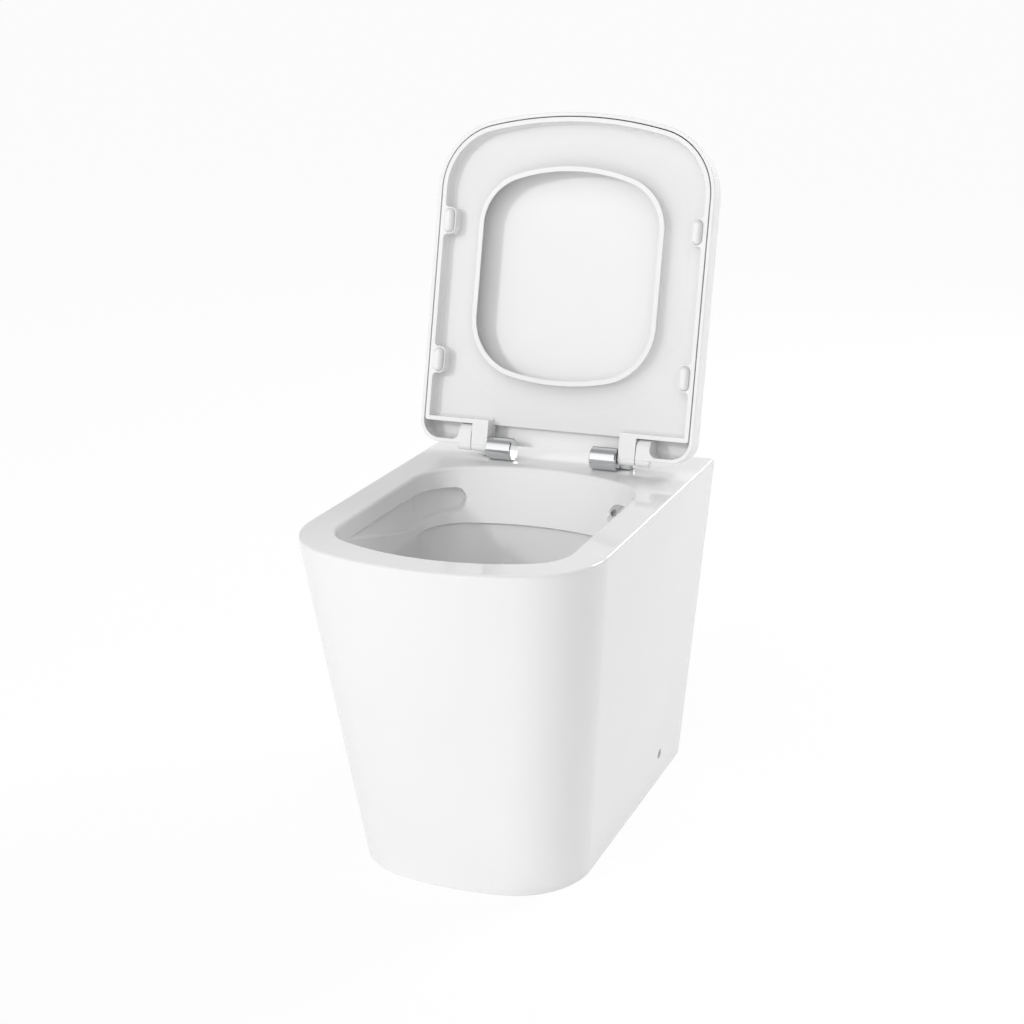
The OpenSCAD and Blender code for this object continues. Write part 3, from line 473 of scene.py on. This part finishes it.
sway = add(tree, "ShaderNodeBump", {"Height": drift.outputs["Fac"], "Strength": 0.25,
                                    "Distance": 1.0 * MM,
                                    "Normal": ripple.outputs["Normal"]})
glaze = add(tree, "ShaderNodeBsdfPrincipled", {"Base Color": white.outputs["Result"], "IOR": 1.52,
                                               "Roughness": gloss.outputs["Result"],
                                               "Normal": sway.outputs["Normal"]})
tree.links.new(glaze.outputs["BSDF"], out.inputs["Surface"])
pan.data.materials.append(china_glaze)
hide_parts(*pan_nodes)
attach(pan, "pan_and_fixings")


# ---- Lid ----
# Compression-moulded duroplast: a thin tray with a full wall that wraps over the seat, soft outer
# edges, and a knuckle inside each back corner that turns on the hinge pin.
lid_w, lid_l, lid_t, lid_wall = 350, 405, 35.5, 4.6
lid_corner, lid_front_r, lid_back_corner = 84, 465, 27
lid_edge, lid_round, lid_inner_edge, lid_inner_round = 1.0, 11, 0.7, 7
mould_draft = 0.3
low_edge, lid_back, seat_gap = -6.5, 1.6, 1.2      # low_edge is a height from the hinge axis
lid_front = lid_back + lid_l
lid_plan = [lid_w / 2, -lid_front, -lid_back, lid_corner, lid_front_r, lid_back_corner, STRAIGHT]
lid_floor = low_edge + lid_t - lid_wall
below, into_floor = low_edge - 1, lid_floor + 1      # where cuts start, and where parts of the lid end
ear_x, ear_w, ear_gap = 84.3, 21, 0.7
knuckle_x, knuckle_w = ear_x + ear_w + ear_gap, 17
knuckle_end = knuckle_x + knuckle_w
hinge = next(joint for joint in frame["record"]["behaviour"]["joints"] if joint["name"] == "lid_hinge")
opening_angle = max(abs(limit) for limit in hinge["range_deg"])
drawn = Matrix.Scale(MM, 4)      # lid and seat are drawn closed, with the hinge axis as X
opened = Matrix.Translation(Vector(hinge["pos_m"])) @ Matrix.Rotation(math.radians(-opening_angle), 4, "X")


def closed_ring(plan, inset, z):
    """A level ring of the closed lid or seat."""
    return at_height(outline(plan, inset, side_n=6), z)


def rounded(plan, inset, z, turn, way=1):
    """Level rings through a quarter round that starts at an inset and a height; way -1 turns out."""
    return [closed_ring(plan, inset + way * across, z + up) for across, up in turn]


side_top = low_edge + lid_t - lid_round
rings = rounded(lid_plan, 0, low_edge, lower_quarter(lid_edge, 5))
rings.append(closed_ring(lid_plan, 0, mix(low_edge, side_top, 0.5)))
rings += rounded(lid_plan, 0, side_top, quarter(lid_round, 14))
lid = solid("lid_duroplast", rings, drawn)

inner_inset = lid_wall + mould_draft
round_from = lid_floor - lid_inner_round
rings = [closed_ring(lid_plan, lid_wall - lid_inner_edge - 1, below)]
rings += rounded(lid_plan, lid_wall, low_edge, lower_quarter(lid_inner_edge, 5), -1)
rings.append(closed_ring(lid_plan, inner_inset, round_from - 4))
rings += rounded(lid_plan, inner_inset, round_from, quarter(lid_inner_round, 8))
lid_space = solid("lid_space", rings, drawn)


def block(name, x_ends, y_ends, z_ends):
    (x0, x1), (y0, y1) = x_ends, y_ends
    return solid(name, [[(x0, y0, z), (x1, y0, z), (x1, y1, z), (x0, y1, z)] for z in z_ends], drawn)


def arc(x, y, radius, start, end, steps=10):
    turns = [math.radians(mix(start, end, i / steps)) for i in range(steps + 1)]
    return [(x + radius * math.cos(t), y + radius * math.sin(t)) for t in turns]


def grown(points, distance):
    """A closed outline, anticlockwise, drawn outwards."""
    found = []
    for i, (x, y) in enumerate(points):
        (ax, ay), (bx, by) = points[i - 1], points[(i + 1) % len(points)]
        length = math.hypot(bx - ax, by - ay)
        found.append((x + distance * (by - ay) / length, y - distance * (bx - ax) / length))
    return found


def soft_ends(x0, x1, edge):
    """(x, across) of a bar's rings, from one rounded end to the other."""
    ends = lower_quarter(edge, 4)
    return [(x0 + up, across) for across, up in ends] + [(x1 - up, across) for across, up in ends[::-1]]


def upright(name, profile, x0, x1, edge):
    """A profile of (forward, up) points stood up between x0 and x1, with rounded arrises."""
    rings = [[(x, -s, h) for s, h in grown(profile, -across)] for x, across in soft_ends(x0, x1, edge)]
    return solid(name, rings, drawn)


lug_r, lug_edge = 5.7, 0.8


def lug(name, x0, x1):
    """The small lug that carries the pin, with softened ends."""
    rings = [ring_round((x, 0, 0), (1, 0, 0), (0, 0, 1), lug_r - across, 64)
             for x, across in soft_ends(x0, x1, lug_edge)]
    return solid(name, rings, drawn)


# An ear or knuckle is round at the top of its back; a knuckle's face rolls back ahead of the pin too
cheek_r, cheek_s, knuckle_edge = 13, 13.8, 1.0
knuckle_profile = [(lid_back, low_edge)] + arc(cheek_s, low_edge + cheek_r, cheek_r, -90, 180, 24)
web_r, bite = 9, 3      # bite is how far a web runs into the walls that it joins


def web(side):
    """A concave fillet in plan between a knuckle's outer side and the lid's back wall."""
    x, s = knuckle_end, lid_back + lid_wall
    levels = [(across, low_edge + up) for across, up in lower_quarter(lid_inner_edge, 4)]
    rings = []
    for across, z in levels + [(0, into_floor)]:
        ring = [(x - bite, s - bite), (x + web_r, s - bite)]
        ring += arc(x + web_r, s + web_r, web_r + across, 270, 180, 12)
        ring.append((x - bite, s + web_r))
        rings.append([(side * px, -ps, z) for px, ps in ring])
    return solid("web", rings, drawn)


def pin_bore(side, start, end, radius):
    return straight_pipe("pin_bore", (side * start, 0, 0), (side * end, 0, 0), radius, drawn)


bush_bore_r, pin_bore_r = 4.05, 3.05
knuckle_cap, knuckle_inset = 1.9, 0.4
parts, pin_bores = [], []
for side, bore_r in ((-1, bush_bore_r), (1, pin_bore_r)):
    x0, x1 = sorted((side * knuckle_x, side * knuckle_end))
    parts.append(upright("knuckle", knuckle_profile, x0, x1, knuckle_edge))
    parts.append(lug("knuckle_lug", x0, x1))
    parts.append(web(side))
    parts.append(block("knuckle_web", (x0 + knuckle_inset, x1 - knuckle_inset),
                       (1 - cheek_s - cheek_r, -lid_back - 5), (low_edge + cheek_r, into_floor)))
    pin_bores.append(pin_bore(side, knuckle_x - past, knuckle_end - knuckle_cap, bore_r))
# The lid's back wall is open between the knuckles
between_knuckles = block("between_knuckles", (-knuckle_x, knuckle_x), (-lid_back - lid_wall - 12, 8),
                         (below, lid_floor))
joined(lid, [lid_space, between_knuckles], parts, pin_bores)
shade(lid)
lid.data.transform(opened)

# Urea duroplast, polished mould: harder and a touch less glassy than the china, a cool even white
duroplast, tree, out = finish_of("duroplast_moulded")
place = add(tree, "ShaderNodeTexCoord", {}).outputs["Object"]
peel = add(tree, "ShaderNodeTexNoise", {"Vector": place, "Scale": per_mm(3), "Detail": 3.0})
flow = add(tree, "ShaderNodeTexNoise", {"Vector": place, "Scale": per_mm(90), "Detail": 1.0})
white = add(tree, "ShaderNodeMix", {"Factor": flow.outputs["Fac"], "A": colour("ECECEC"),
                                    "B": colour("E9E9E9")}, data_type="RGBA")
gloss = add(tree, "ShaderNodeMapRange", {"Value": peel.outputs["Fac"], "To Min": 0.12, "To Max": 0.2})
ripple = add(tree, "ShaderNodeBump", {"Height": peel.outputs["Fac"], "Strength": 0.08,
                                      "Distance": 0.03 * MM})
resin = add(tree, "ShaderNodeBsdfPrincipled", {"Base Color": white.outputs["Result"], "IOR": 1.54,
                                               "Roughness": gloss.outputs["Result"],
                                               "Normal": ripple.outputs["Normal"]})
tree.links.new(resin.outputs["BSDF"], out.inputs["Surface"])
lid.data.materials.append(duroplast)
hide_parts("lid")
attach(lid, "lid")


# ---- Seat ----
# The seat ring is the same duroplast: hollow underneath, with a wall round its outside and round
# the opening, a pocket in the rim wall at each buffer, and two ears that drop to the hinge pins.
seat_in = lid_wall + seat_gap
seat_t, seat_wall, seat_hollow, seat_back = 25.5, 5.5, 17, 27.2
seat_plan = [lid_w / 2 - seat_in, seat_in - lid_front, -seat_back,
             lid_corner - seat_in, lid_front_r - seat_in, 4, STRAIGHT]
opening_back, opening_l = seat_back + 60.2, 249.3
opening_plan = [111.4, -(opening_back + opening_l), -opening_back, 58, 225, 66, 280]
seat_edge, seat_inner_edge, ring_edge, ring_wall = 0.8, 0.6, 0.7, 6.2
seat_top, hollow_top, cove = low_edge + seat_t, low_edge + seat_hollow, 6

# The seat's outer shoulder, as (distance from the outside, drop from the top)
shoulder = [(0, 9), (0.35, 7.3), (1.1, 5.6), (2.3, 4), (4, 2.5), (6.2, 1.3), (9, 0.45), (12.5, 0)]
rings = rounded(seat_plan, 0, low_edge, lower_quarter(seat_edge, 5))
rings += [closed_ring(seat_plan, across, seat_top - drop) for across, drop in shoulder]
seat = solid("seat_duroplast", rings, drawn)

rings = [closed_ring(seat_plan, seat_wall - seat_inner_edge, below)]
rings += rounded(seat_plan, seat_wall, low_edge, lower_quarter(seat_inner_edge, 4), -1)
rings += rounded(seat_plan, seat_wall, hollow_top - cove, quarter(cove, 8))
hollow = solid("hollow", rings, drawn)
# Its floor rises to meet the ring round the opening, in step with the seat's top, which falls away
# towards the opening; both are given as (distance from the opening, height above the hinge axis)
fall_away = [(0, -5.2), (0.7, -4.2), (1.7, -2.6), (3, -0.2), (4.6, 3), (6.4, 6.5), (8.7, 9.8), (11.6, 12.8),
             (15.2, 15.3), (19.8, 17.3), (25, 18.5), (29, 18.95), (31, 19.6)]
rise = [(5.2, -2.4), (6.6, -0.4), (8.6, 2.2), (11.4, 4.7), (15, 6.9), (19.5, 8.5), (25, 9.6), (30, 10.1),
        (34, 10.4), (34.6, hollow_top + 1)]
floor_kept = solid("floor_kept", [closed_ring(opening_plan, -away, z) for away, z in rise], drawn)
rings = [closed_ring(opening_plan, ring_edge - ring_wall, below - 1)]
rings += rounded(opening_plan, -ring_wall, low_edge, lower_quarter(ring_edge, 4))
rings.append(closed_ring(opening_plan, -ring_wall, seat_top - 4))
ring_kept = solid("ring_kept", rings, drawn)
# Nor does the seat have a back wall between its ears
no_back_wall = block("no_back_wall", (-ear_x, ear_x), (-seat_back - seat_wall - 7, 4 - seat_back),
                     (below, hollow_top))
joined(hollow, [floor_kept, ring_kept], [no_back_wall])

# A buffer's pocket stands out from the rim wall, with a fillet on either side
buffer_l, buffer_w, buffer_corner = 29, 13, 6.2
wall_x = seat_plan[0] - seat_wall
buffer_x = wall_x - buffer_w / 2
front_s, rear_s = 272, 102      # how far ahead of the hinge axis they are
buffer_places = {"left_front": (-buffer_x, front_s), "right_front": (buffer_x, front_s),
                 "left_rear": (-buffer_x, rear_s), "right_rear": (buffer_x, rear_s)}
pocket_wall, pocket_edge, pocket_deep, step_r = 1.9, 0.5, 4, 4.5
boss_r = buffer_corner + pocket_wall


def boss(x, s):
    """The walls of a pocket, run into the rim wall."""
    left, half_l = wall_x - buffer_w - pocket_wall, buffer_l / 2 + pocket_wall
    low, high, in_wall = -s - half_l, -s + half_l, wall_x + 2.5
    points = arc(wall_x - step_r, low - step_r, step_r, 0, 90)
    points += arc(left + boss_r, low + boss_r, boss_r, 270, 180)
    points += arc(left + boss_r, high - boss_r, boss_r, 180, 90)
    points += arc(wall_x - step_r, high + step_r, step_r, 270, 360)
    points += [(in_wall, high + step_r), (in_wall, low - step_r)]
    points.reverse()
    turn = lower_quarter(seat_inner_edge, 4)
    rings = [at_height(grown(points, -across), low_edge + up) for across, up in turn]
    rings.append(at_height(points, hollow_top + 2))
    side = math.copysign(1, x)
    return solid("boss", [[(side * px, py, z) for px, py, z in ring] for ring in rings], drawn)


def rounded_box(x, y, width, length, corner):
    """The outline of a box round a place, with rounded corners."""
    across, along = width / 2 - corner, length / 2 - corner
    points = []
    for sx, sy, start in ((1, 1, 0), (-1, 1, 90), (-1, -1, 180), (1, -1, 270)):
        points += arc(x + sx * across, y + sy * along, corner, start, start + 90, 12)
    return points


rings = [closed_ring(opening_plan, -ring_edge, below)]
rings += rounded(opening_plan, 0, low_edge, lower_quarter(ring_edge, 4), -1)
rings += [closed_ring(opening_plan, -away, z) for away, z in fall_away]
openings = [solid("opening", rings, drawn)]
parts = []
for x, s in buffer_places.values():
    parts.append(boss(x, s))
    socket = rounded_box(x, -s, buffer_w, buffer_l, buffer_corner)
    turn = lower_quarter(pocket_edge, 3)
    rings = [at_height(grown(socket, pocket_edge), below)]
    rings += [at_height(grown(socket, across), low_edge + up) for across, up in turn]
    openings.append(solid("pocket", rings + [at_height(socket, low_edge + pocket_deep)], drawn))

# An ear from the side: level with the lower edge from the lid's back to the inside of the seat's
# back wall, and round at the top of its back
ear_front, ear_top = seat_back + seat_wall, low_edge + 2 * cheek_r - 2
ear_profile = [(lid_back, low_edge), (ear_front, low_edge), (ear_front, ear_top)]
ear_profile += arc(cheek_s, low_edge + cheek_r, cheek_r, 80, 180, 12)
for side, bore_r in ((-1, pin_bore_r), (1, bush_bore_r)):
    x0, x1 = sorted((side * ear_x, side * (ear_x + ear_w)))
    parts.append(upright("ear", ear_profile, x0, x1, seat_edge))
    parts.append(lug("ear_lug", x0, x1))
    openings.append(pin_bore(side, ear_x - past, ear_x + ear_w + past, bore_r))
joined(seat, [hollow], parts, openings)
shade(seat)

# Underneath, the hollow keeps the mould's fine grain and is duller than the polished rim; its colour is
# painted a shade darker than the rim's, which is painted shade for the hollow
grained_painted_shade, tree, out = finish_of("duroplast_grained_painted_shade")
place = add(tree, "ShaderNodeTexCoord", {}).outputs["Object"]
grain = add(tree, "ShaderNodeTexNoise", {"Vector": place, "Scale": per_mm(1.1), "Detail": 3.0})
# painted shade: both greys are darker than the rim's and stand in for shade in the hollow; the grain mixes
# them at random
white = add(tree, "ShaderNodeMix", {"Factor": grain.outputs["Fac"], "A": colour("E5E5E5"),
                                    "B": colour("E0E0E0")}, data_type="RGBA")
gloss = add(tree, "ShaderNodeMapRange", {"Value": grain.outputs["Fac"], "To Min": 0.34, "To Max": 0.48})
texture = add(tree, "ShaderNodeBump", {"Height": grain.outputs["Fac"], "Strength": 0.2,
                                       "Distance": 0.04 * MM})
resin = add(tree, "ShaderNodeBsdfPrincipled", {"Base Color": white.outputs["Result"], "IOR": 1.54,
                                               "Roughness": gloss.outputs["Result"],
                                               "Normal": texture.outputs["Normal"]})
tree.links.new(resin.outputs["BSDF"], out.inputs["Surface"])
seat.data.materials.append(duroplast)
seat.data.materials.append(grained_painted_shade)
# faces that look down into the hollow, above its lower edge, get the grain and the painted shade
grain_and_painted_shade_from = (low_edge + 5) * MM
for face in seat.data.polygons:
    face.material_index = int(face.normal.z < -0.5 and face.center.z > grain_and_painted_shade_from)
seat.data.transform(opened)
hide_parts("seat")
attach(seat, "seat")


# ---- Buffers ----
# Injection-moulded soft nylon pads pressed into pockets: long ones under the seat, which rest on
# the rim, and small round ones inside the lid, which rest on the seat.
pad_loose, pad_let_in, pad_foot = 0.4, 3.8, 7.2      # pad_foot is how far it stands below the rim
crown_from, crown_in = 0.22, buffer_w / 2 - 1.1

# Soft nylon, moulded: nearly white and dull, with a fine grain that keeps highlights broad
soft_nylon, tree, out = finish_of("soft_nylon_moulded")
place = add(tree, "ShaderNodeTexCoord", {}).outputs["Object"]
grain = add(tree, "ShaderNodeTexNoise", {"Vector": place, "Scale": per_mm(0.8), "Detail": 3.0})
gloss = add(tree, "ShaderNodeMapRange", {"Value": grain.outputs["Fac"], "To Min": 0.3, "To Max": 0.42})
skin = add(tree, "ShaderNodeBump", {"Height": grain.outputs["Fac"], "Strength": 0.15,
                                    "Distance": 0.03 * MM})
pad = add(tree, "ShaderNodeBsdfPrincipled", {"Base Color": colour("ECECEC"), "IOR": 1.5,
                                             "Roughness": gloss.outputs["Result"],
                                             "Normal": skin.outputs["Normal"]})
tree.links.new(pad.outputs["BSDF"], out.inputs["Surface"])

for name, (x, s) in buffer_places.items():
    # a pill with a full crown, let into its pocket
    pill = rounded_box(x, -s, buffer_w - pad_loose, buffer_l - pad_loose, buffer_corner - pad_loose / 2)
    rings = [at_height(pill, low_edge + pad_let_in), at_height(pill, low_edge - pad_foot * crown_from)]
    for i in range(1, 13):
        a = math.pi / 2 * i / 12
        rings.append(at_height(grown(pill, -crown_in * (1 - math.cos(a)) ** 0.9),
                               low_edge - pad_foot * mix(crown_from, 1, math.sin(a))))
    rings.reverse()
    buffer = solid("seat_pad_" + name, rings, drawn)
    shade(buffer, 50)
    buffer.data.transform(opened)
    buffer.data.materials.append(soft_nylon)
    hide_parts("seat_buffer_" + name)
    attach(buffer, "seat")


def coat(material, *names):
    """Gives carried-over nodes a finish, in every slot that they have."""
    for name in names:
        mesh = nodes[name].data
        if not mesh.materials:
            mesh.materials.append(material)
        for i in range(len(mesh.materials)):
            mesh.materials[i] = material


def pairs(*names):
    return [name + side for name in names for side in ("_left", "_right")]


coat(soft_nylon, "lid_bush", "seat_bush", *pairs("lid_buffer", "side_screw_bush"))


# ---- Hinges ----
# Zinc die-castings, polished and chrome plated: a barrel with a release button in its end stands on
# a round base. Inside are a soft-close damper, a steel pin and the spring clip that holds the post.

# Bright chrome: a near mirror that wavers slightly with the polishing
bright_chrome, tree, out = finish_of("bright_chrome_plate")
place = add(tree, "ShaderNodeTexCoord", {}).outputs["Object"]
wave = add(tree, "ShaderNodeTexNoise", {"Vector": place, "Scale": per_mm(9), "Detail": 1.0})
gloss = add(tree, "ShaderNodeMapRange", {"Value": wave.outputs["Fac"], "To Min": 0.03, "To Max": 0.07})
polish = add(tree, "ShaderNodeBump", {"Height": wave.outputs["Fac"], "Strength": 0.05,
                                      "Distance": 0.05 * MM})
plate = add(tree, "ShaderNodeBsdfPrincipled", {"Base Color": colour("D9DADB"), "Metallic": 1.0,
                                               "Roughness": gloss.outputs["Result"],
                                               "Normal": polish.outputs["Normal"]})
tree.links.new(plate.outputs["BSDF"], out.inputs["Surface"])
coat(bright_chrome, *pairs("hinge_barrel", "release_button", "hinge_base"))

# Acetal, as moulded: dark grey, dull
acetal, tree, out = finish_of("acetal_moulded")
place = add(tree, "ShaderNodeTexCoord", {}).outputs["Object"]
grain = add(tree, "ShaderNodeTexNoise", {"Vector": place, "Scale": per_mm(1), "Detail": 2.0})
gloss = add(tree, "ShaderNodeMapRange", {"Value": grain.outputs["Fac"], "To Min": 0.4, "To Max": 0.55})
body = add(tree, "ShaderNodeBsdfPrincipled", {"Base Color": colour("4A4B4D"),
                                              "Roughness": gloss.outputs["Result"]})
tree.links.new(body.outputs["BSDF"], out.inputs["Surface"])
coat(acetal, "seat_damper", "lid_damper")

# Zinc-plated steel: bright but hazy, with a fine crystal pattern
zinc_steel, tree, out = finish_of("zinc_plated_steel")
place = add(tree, "ShaderNodeTexCoord", {}).outputs["Object"]
crystal = add(tree, "ShaderNodeTexVoronoi", {"Vector": place, "Scale": per_mm(2.5)})
gloss = add(tree, "ShaderNodeMapRange", {"Value": crystal.outputs["Distance"], "To Min": 0.25,
                                         "To Max": 0.42})
tone = add(tree, "ShaderNodeMix", {"Factor": crystal.outputs["Distance"], "A": colour("B9BCC0"),
                                   "B": colour("A6A9AD")}, data_type="RGBA")
plated = add(tree, "ShaderNodeBsdfPrincipled", {"Base Color": tone.outputs["Result"], "Metallic": 1.0,
                                                "Roughness": gloss.outputs["Result"]})
tree.links.new(plated.outputs["BSDF"], out.inputs["Surface"])
coat(zinc_steel, "seat_pin", "lid_pin", *pairs("latch_clip", "hinge_stud", "anchor_nut"))

# EPDM rubber, moulded: black with a dull bloom
rubber, tree, out = finish_of("epdm_rubber")
place = add(tree, "ShaderNodeTexCoord", {}).outputs["Object"]
bloom = add(tree, "ShaderNodeTexNoise", {"Vector": place, "Scale": per_mm(4), "Detail": 4.0})
tone = add(tree, "ShaderNodeMix", {"Factor": bloom.outputs["Fac"], "A": colour("1B1B1C"),
                                   "B": colour("2A2A2B")}, data_type="RGBA")
body = add(tree, "ShaderNodeBsdfPrincipled", {"Base Color": tone.outputs["Result"], "Roughness": 0.62})
tree.links.new(body.outputs["BSDF"], out.inputs["Surface"])
coat(rubber, "inlet_seal", *pairs("hinge_gasket", "anchor_sleeve"))


# ---- Floor fixings ----
# Pressed steel angles screwed to the floor inside the skirt, zinc plated like the hinge's steel. A
# screw through the hole low in each side draws the pan down to them.
coat(zinc_steel, *pairs("floor_bracket", "side_screw", "bracket_nut"))


# ---- Studio ----
# A white floor that runs out of sight, pale walls under a dimmer ceiling, a small lamp high on the
# left in front that throws the crisp shadows, two soft ones behind on the right, and the camera.
reach = 60.0
own_glow = 0.92      # share of the floor that is white by itself, where the rest takes the shadow
floor_mesh = bpy.data.meshes.new("studio_floor")
corners = [(-reach, -reach, 0), (reach, -reach, 0), (reach, reach, 0), (-reach, reach, 0)]
floor_mesh.from_pydata(corners, [], [(0, 1, 2, 3)])
studio_floor = bpy.data.objects.new("studio_floor", floor_mesh)
bpy.context.scene.collection.objects.link(studio_floor)
paper, tree, out = finish_of("white_paper")
seen = add(tree, "ShaderNodeLightPath", {})
matt = add(tree, "ShaderNodeBsdfDiffuse", {"Color": colour("FFFFFF")})
glow = add(tree, "ShaderNodeEmission", {"Color": (1, 1, 1, 1), "Strength": 1.0})
direct = add(tree, "ShaderNodeMath", {0: seen.outputs["Is Camera Ray"], 1: seen.outputs["Is Glossy Ray"]},
             operation="MAXIMUM")
direct = add(tree, "ShaderNodeMath", {0: direct.outputs[0], 1: seen.outputs["Is Transmission Ray"]},
             operation="MAXIMUM")
share = add(tree, "ShaderNodeMath", {0: direct.outputs[0], 1: own_glow}, operation="MULTIPLY")
both = add(tree, "ShaderNodeMixShader", {0: share.outputs[0], 1: matt.outputs[0], 2: glow.outputs[0]})
tree.links.new(both.outputs[0], out.inputs["Surface"])
floor_mesh.materials.append(paper)

world = bpy.data.worlds.new("studio")
bpy.context.scene.world = world
world.use_nodes = True
tree = world.node_tree
tree.nodes.clear()
out = tree.nodes.new("ShaderNodeOutputWorld")
seen = add(tree, "ShaderNodeLightPath", {})

# Light from all around: the wall in front and the one behind are the brightest, and the walls fade
# into the ceiling between two angles above the horizon
wall_lights = {(0, -1, 0): 1.59, (0, 1, 0): 1.0, (-1, 0, 0): 0.23, (1, 0, 0): 0.02}
ceiling_light, fade_from, fade_to = 0.45, math.radians(50), math.radians(68)
way = add(tree, "ShaderNodeTexCoord", {})
split = add(tree, "ShaderNodeSeparateXYZ", {"Vector": way.outputs["Generated"]})
ceiling = add(tree, "ShaderNodeMapRange", {"Value": split.outputs["Z"], "From Min": math.sin(fade_from),
                                           "From Max": math.sin(fade_to)}, interpolation_type="SMOOTHSTEP")
level = add(tree, "ShaderNodeCombineXYZ", {"X": split.outputs["X"], "Y": split.outputs["Y"]})
compass = add(tree, "ShaderNodeVectorMath", {0: level.outputs["Vector"]}, operation="NORMALIZE")
walls = None
for towards, strength in wall_lights.items():
    facing = add(tree, "ShaderNodeVectorMath", {0: compass.outputs["Vector"], 1: towards},
                 operation="DOT_PRODUCT")
    facing = add(tree, "ShaderNodeMath", {0: facing.outputs["Value"], 1: 0.0}, operation="MAXIMUM")
    part = add(tree, "ShaderNodeMath", {0: facing.outputs[0], 1: 2.0}, operation="POWER")
    part = add(tree, "ShaderNodeMath", {0: part.outputs[0], 1: strength}, operation="MULTIPLY")
    if walls:
        part = add(tree, "ShaderNodeMath", {0: walls.outputs[0], 1: part.outputs[0]}, operation="ADD")
    walls = part
shine = add(tree, "ShaderNodeMix", {"Factor": ceiling.outputs["Result"], "A": walls.outputs[0],
                                    "B": ceiling_light})
sky = add(tree, "ShaderNodeBackground", {"Color": (1, 1, 1, 1), "Strength": shine.outputs["Result"]})
backdrop = add(tree, "ShaderNodeBackground", {"Color": (1, 1, 1, 1), "Strength": 1.0})
direct = add(tree, "ShaderNodeMath", {0: seen.outputs["Is Camera Ray"],
                                      1: seen.outputs["Is Transmission Ray"]}, operation="MAXIMUM")
both = add(tree, "ShaderNodeMixShader", {0: direct.outputs[0], 1: sky.outputs[0], 2: backdrop.outputs[0]})
tree.links.new(both.outputs[0], out.inputs["Surface"])


lamp_aim = Vector((0, 0, 0.45))


def lamp(name, at, size, power, mirrored=True):
    """A square lamp aimed at the middle of the object. One that isn't mirrored leaves no spot in a
    glossy surface."""
    light = bpy.data.lights.new(name, "AREA")
    light.size, light.energy = size, power
    holder = bpy.data.objects.new(name, light)
    holder.visible_glossy = mirrored
    bpy.context.scene.collection.objects.link(holder)
    turned = (lamp_aim - Vector(at)).to_track_quat("-Z", "Y").to_matrix().to_4x4()
    holder.matrix_world = Matrix.Translation(at) @ turned


lamp("key", (-1.86, -3.16, 2.05), 0.35, 34.5, mirrored=False)
lamp("back_right", (1.58, 1.88, 2.17), 0.8, 33)
lamp("back_low", (0.96, 2.65, 1.48), 0.6, 9)

# The camera stands to the right in front of the pan, above the rim, and looks down at it
eye_right, eye_ahead, eye_up = 0.76865, 1.81954, 1.02420
turn, tip, roll = math.radians(22.63), math.radians(17.885), math.radians(-0.92)
camera = bpy.data.cameras.new("camera")
camera.sensor_width, camera.lens = 36, 64.25
viewer = bpy.data.objects.new("camera", camera)
bpy.context.scene.collection.objects.link(viewer)
viewer.matrix_world = (Matrix.Translation((eye_right, wall_y - pan_back * MM - eye_ahead, eye_up))
                       @ Matrix.Rotation(turn, 4, "Z") @ Matrix.Rotation(math.pi / 2 - tip, 4, "X")
                       @ Matrix.Rotation(roll, 4, "Z"))
bpy.context.scene.camera = viewer
bpy.context.scene.view_settings.view_transform = "Standard"
